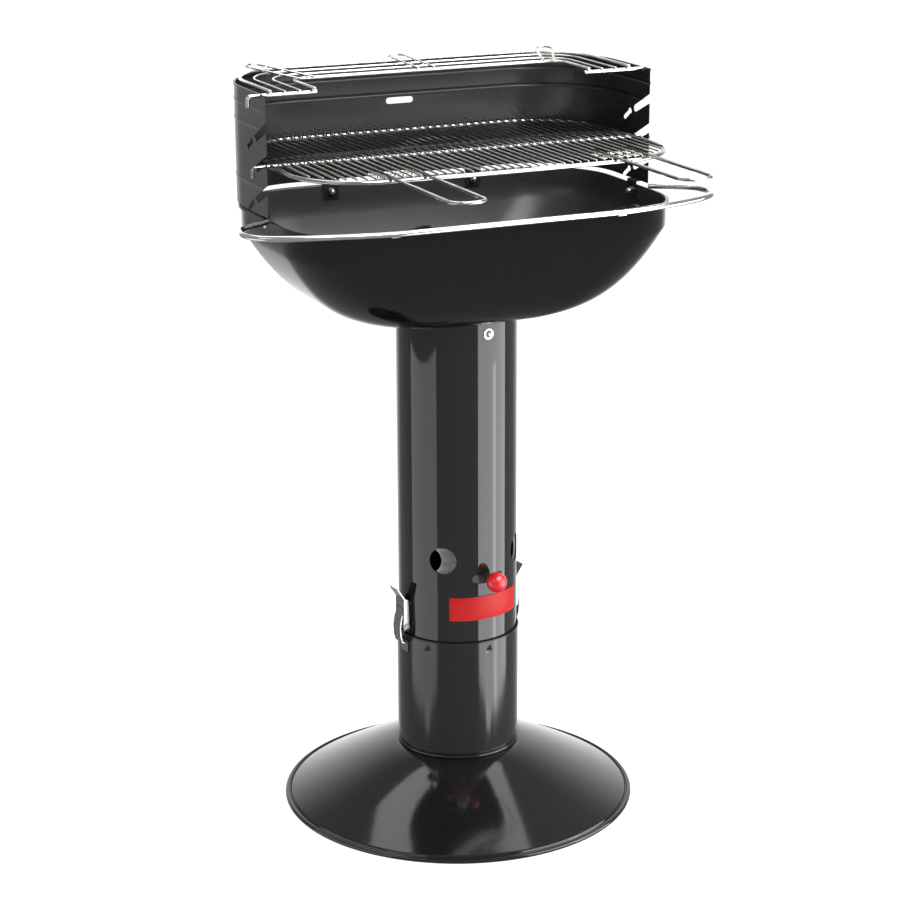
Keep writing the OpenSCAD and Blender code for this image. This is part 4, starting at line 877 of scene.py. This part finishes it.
def bent_wire(name, points, bends, diameter, closed=False, sides=12):
    """Draws a wire like a bender does: straight runs, and a spin round each corner's bend."""
    points = [Vector(p) * mm for p in points]
    n = len(points)
    if not isinstance(bends, list):
        bends = [bends] * n
    turns = []
    for i in range(n):
        if not closed and i in (0, n - 1):
            turns.append(None)
            continue
        a, p, b = points[i - 1], points[i], points[(i + 1) % n]
        u, w = (p - a).normalized(), (b - p).normalized()
        angle = u.angle(w)
        if angle < math.radians(0.2):
            turns.append(None)
            continue
        axis = u.cross(w).normalized()
        r = bends[i] * mm
        back = r * math.tan(angle / 2)
        out = -axis.cross(u)
        turns.append((angle, axis, p - u * back - out * r, back))
    way = (points[1] - points[0]).normalized()
    start = points[0] + (way * turns[0][3] if turns[0] else Vector())
    reach = diameter * mm / 2
    bpy.ops.object.select_all(action="DESELECT")
    bpy.ops.mesh.primitive_circle_add(vertices=sides, radius=reach)
    wire = bpy.context.object
    wire.name = name
    wire.data.transform(Matrix.Translation(start) @ way.to_track_quat("Z", "Y").to_matrix().to_4x4())
    bpy.ops.object.mode_set(mode="EDIT")
    bpy.ops.mesh.select_all(action="SELECT")
    if not closed:
        bpy.ops.mesh.edge_face_add()
        bpy.ops.mesh.select_all(action="SELECT")
        bpy.ops.mesh.delete(type="ONLY_FACE")
        bpy.ops.mesh.select_all(action="SELECT")
    last = start
    for i in range(1, n + (1 if closed else 0)):
        corner = points[i % n]
        way = (corner - points[i - 1]).normalized()
        bend_here = turns[i % n]
        goal = corner - way * bend_here[3] if bend_here else corner
        if (goal - last).length > 0.00005:
            bpy.ops.mesh.extrude_region_move(TRANSFORM_OT_translate={"value": goal - last})
        last = goal
        if bend_here:
            angle, axis, centre, back = bend_here
            steps = max(2, math.ceil(math.degrees(angle) / 7))
            bpy.ops.mesh.spin(steps=steps, angle=-angle, center=centre, axis=axis)
            after = (points[(i + 1) % n] - corner).normalized()
            last = corner + after * back
    bpy.ops.mesh.select_all(action="SELECT")
    bpy.ops.mesh.remove_doubles(threshold=0.00003)
    if not closed:
        bpy.ops.mesh.select_all(action="DESELECT")
        bpy.ops.mesh.select_non_manifold(extend=False, use_wire=False, use_boundary=True)
        bpy.ops.mesh.edge_face_add()
    bpy.ops.mesh.select_all(action="SELECT")
    bpy.ops.mesh.normals_make_consistent(inside=False)
    bpy.ops.object.mode_set(mode="OBJECT")
    if not closed:
        ease = wire.modifiers.new("tip", "BEVEL")
        ease.width, ease.segments, ease.limit_method, ease.angle_limit = reach * 0.35, 2, "ANGLE", 1.0
        bpy.ops.object.modifier_apply(modifier="tip")
    smooth(wire, 50)
    return wire


def join_up(name, wires):
    """Makes one piece of several wires."""
    bpy.ops.object.select_all(action="DESELECT")
    for wire in wires:
        wire.select_set(True)
    bpy.context.view_layer.objects.active = wires[0]
    bpy.ops.object.join()
    wires[0].name = name
    return wires[0]


rail_half = [(165, -177), (215.5, -168), (274.5, -152), (309.5, -139), (333, -124), (346.5, -100),
             (337, -62), (309.5, -43), (284.9, -28)]
rail_bends = [200, 400, 200, 100, 40, 35, 35, 100, 0]
rail = bent_wire("front_rail_rod", [(-x, y, rail_high) for x, y in rail_half[::-1]]
                 + [(x, y, rail_high) for x, y in rail_half], rail_bends[::-1] + rail_bends, 8, sides=20)
rail_plating = material("rail_nickel", plate, {"Gloss": 0.09, "Lines": 0.02}, metallic=1.0)
dress(rail, rail_plating, "rail_wire", "stand", "rail")
finish_node("rail_lugs", rail_plating)
pegs = join_up("rim_pegs_pair", [
    bent_wire("rim_peg", [(x, y, 883.3), (x, -158, 883.3), (x, -98, 865.3)], 10, 6)
    for x, y in ((-112, -172.9), (193, -167.4))])
dress(pegs, enamel("peg_black_paint", 0.3, 0.1, 0.1, 0.1), "peg_enamel", "stand", "rim_pegs")

# The cooking grid is welded from plated rod: a frame, 44 thin wires on it, a crossbar whose
# ends turn down outside the windshield's notches, and two loop handles with short ties.
grid_half, grid_front, grid_rear, corner_front, corner_rear = 271, -169, 186, 100, 110
frame_high, wires_high, crossbar_high, handle_high = 949, 953.4, 949.5, 954.5
wires, wire_pitch = 44, 12.08
# painted shade: the grid's plating is a darker copy of the nickel on the rail and rack, standing in for the
# dark surroundings its wires mirror
grid_plating_painted_shade = material("grid_nickel_painted_shade", plate, {
    "Bright": (0.5, 0.49, 0.46, 1), "Dull": (0.3, 0.29, 0.27, 1), "Gloss": 0.1, "Lines": 0.04}, metallic=1.0)
frame_corners = [(-grid_half, grid_front), (0, grid_front - 6), (grid_half, grid_front),
                 (grid_half, grid_rear), (-grid_half, grid_rear)]
grid_frame = bent_wire("grid_frame_rod", [(x, y, frame_high) for x, y in frame_corners],
                       [corner_front, 2500, corner_front, corner_rear, corner_rear], 6,
                       closed=True, sides=16)
dress(grid_frame, grid_plating_painted_shade, "grid_wire", "cooking_grid", "grid_frame")


def frame_edge(x):
    """How far forward and back a thin wire runs at x."""
    front, rear = grid_front - 6 * (1 - abs(x) / grid_half) * 0.8, grid_rear
    past = abs(x) - (grid_half - corner_front)
    if past > 0:
        front = grid_front + corner_front - math.sqrt(max(0, corner_front ** 2 - past * past))
    past = abs(x) - (grid_half - corner_rear)
    if past > 0:
        rear = grid_rear - corner_rear + math.sqrt(max(0, corner_rear ** 2 - past * past))
    return front - 1, rear + 1


thin = []
for k in range(wires):
    x = (k - (wires - 1) / 2) * wire_pitch
    front, rear = frame_edge(x)
    thin.append(bent_wire("thin_wire", [(x, front, wires_high), (x, rear, wires_high)], 0, 2.8, sides=8))
thin = join_up("grid_thin_wires", thin)
dress(thin, grid_plating_painted_shade, "grid_wire", "cooking_grid", "grid_wires")
crossbar = bent_wire("grid_cross_rod", [
    (-297, -6, crossbar_high - 14), (-297, -6, crossbar_high), (297, -6, crossbar_high),
    (297, -6, crossbar_high - 14)], 6, 5)
dress(crossbar, grid_plating_painted_shade, "grid_wire", "cooking_grid", "grid_crossbar")
for name, x, tip_y in (("left_handle", -144.96, -366), ("right_handle", 181.2, -352)):
    left, right = x - 2 * wire_pitch, x + 2 * wire_pitch
    handle = bent_wire(name + "_loop", [(left, -110, handle_high), (left, tip_y, handle_high),
                                        (right, tip_y, handle_high), (right, -110, handle_high)],
                       20, 5, sides=16)
    dress(handle, grid_plating_painted_shade, "grid_wire", "cooking_grid", name)
finish_node("grid_ties", grid_plating_painted_shade)

# The warming rack rests on the windshield: four wires round its back, held by two end bars
# that drop into the top notches and hook down outside, and three loops to lift it by.
rack_middle, rack_front, rack_high, bar_high = -6, -14, 1049.2, 1044.2
rack_plating = material("rack_nickel", plate, {
    "Bright": (0.86, 0.85, 0.82, 1), "Gloss": 0.1, "Lines": 0.03}, metallic=1.0)
rack_wires = (("rack_outer_wire", 266, 185, 100, 5), ("rack_thin_wires", 245.2, 156, 62, 3),
              ("rack_thin_wires", 224.4, 124, 45, 3), ("rack_inner_wire", 203.6, 81, 26, 5))
for i, (name, half, rear, bend, thick) in enumerate(rack_wires):
    left, right, z = rack_middle - half, rack_middle + half, rack_high + (thick - 5) / 2
    wire = bent_wire("rack_wire_%d" % i, [(left, rack_front, z), (left, rear, z), (right, rear, z),
                                          (right, rack_front, z)], bend, thick)
    dress(wire, rack_plating, "rack_wire", "warming_rack", name)
for name, inner, hook in (("left_end_bar", -204.6, -302), ("right_end_bar", 192.6, 290)):
    bar = bent_wire(name + "_rod", [(inner, -8, bar_high), (hook, -8, bar_high), (hook, -8, bar_high - 15)],
                    5, 5, sides=14)
    dress(bar, rack_plating, "rack_wire", "warming_rack", name)
for name in ("left_loop", "right_loop", "middle_loop"):
    finish_node(name, rack_plating)
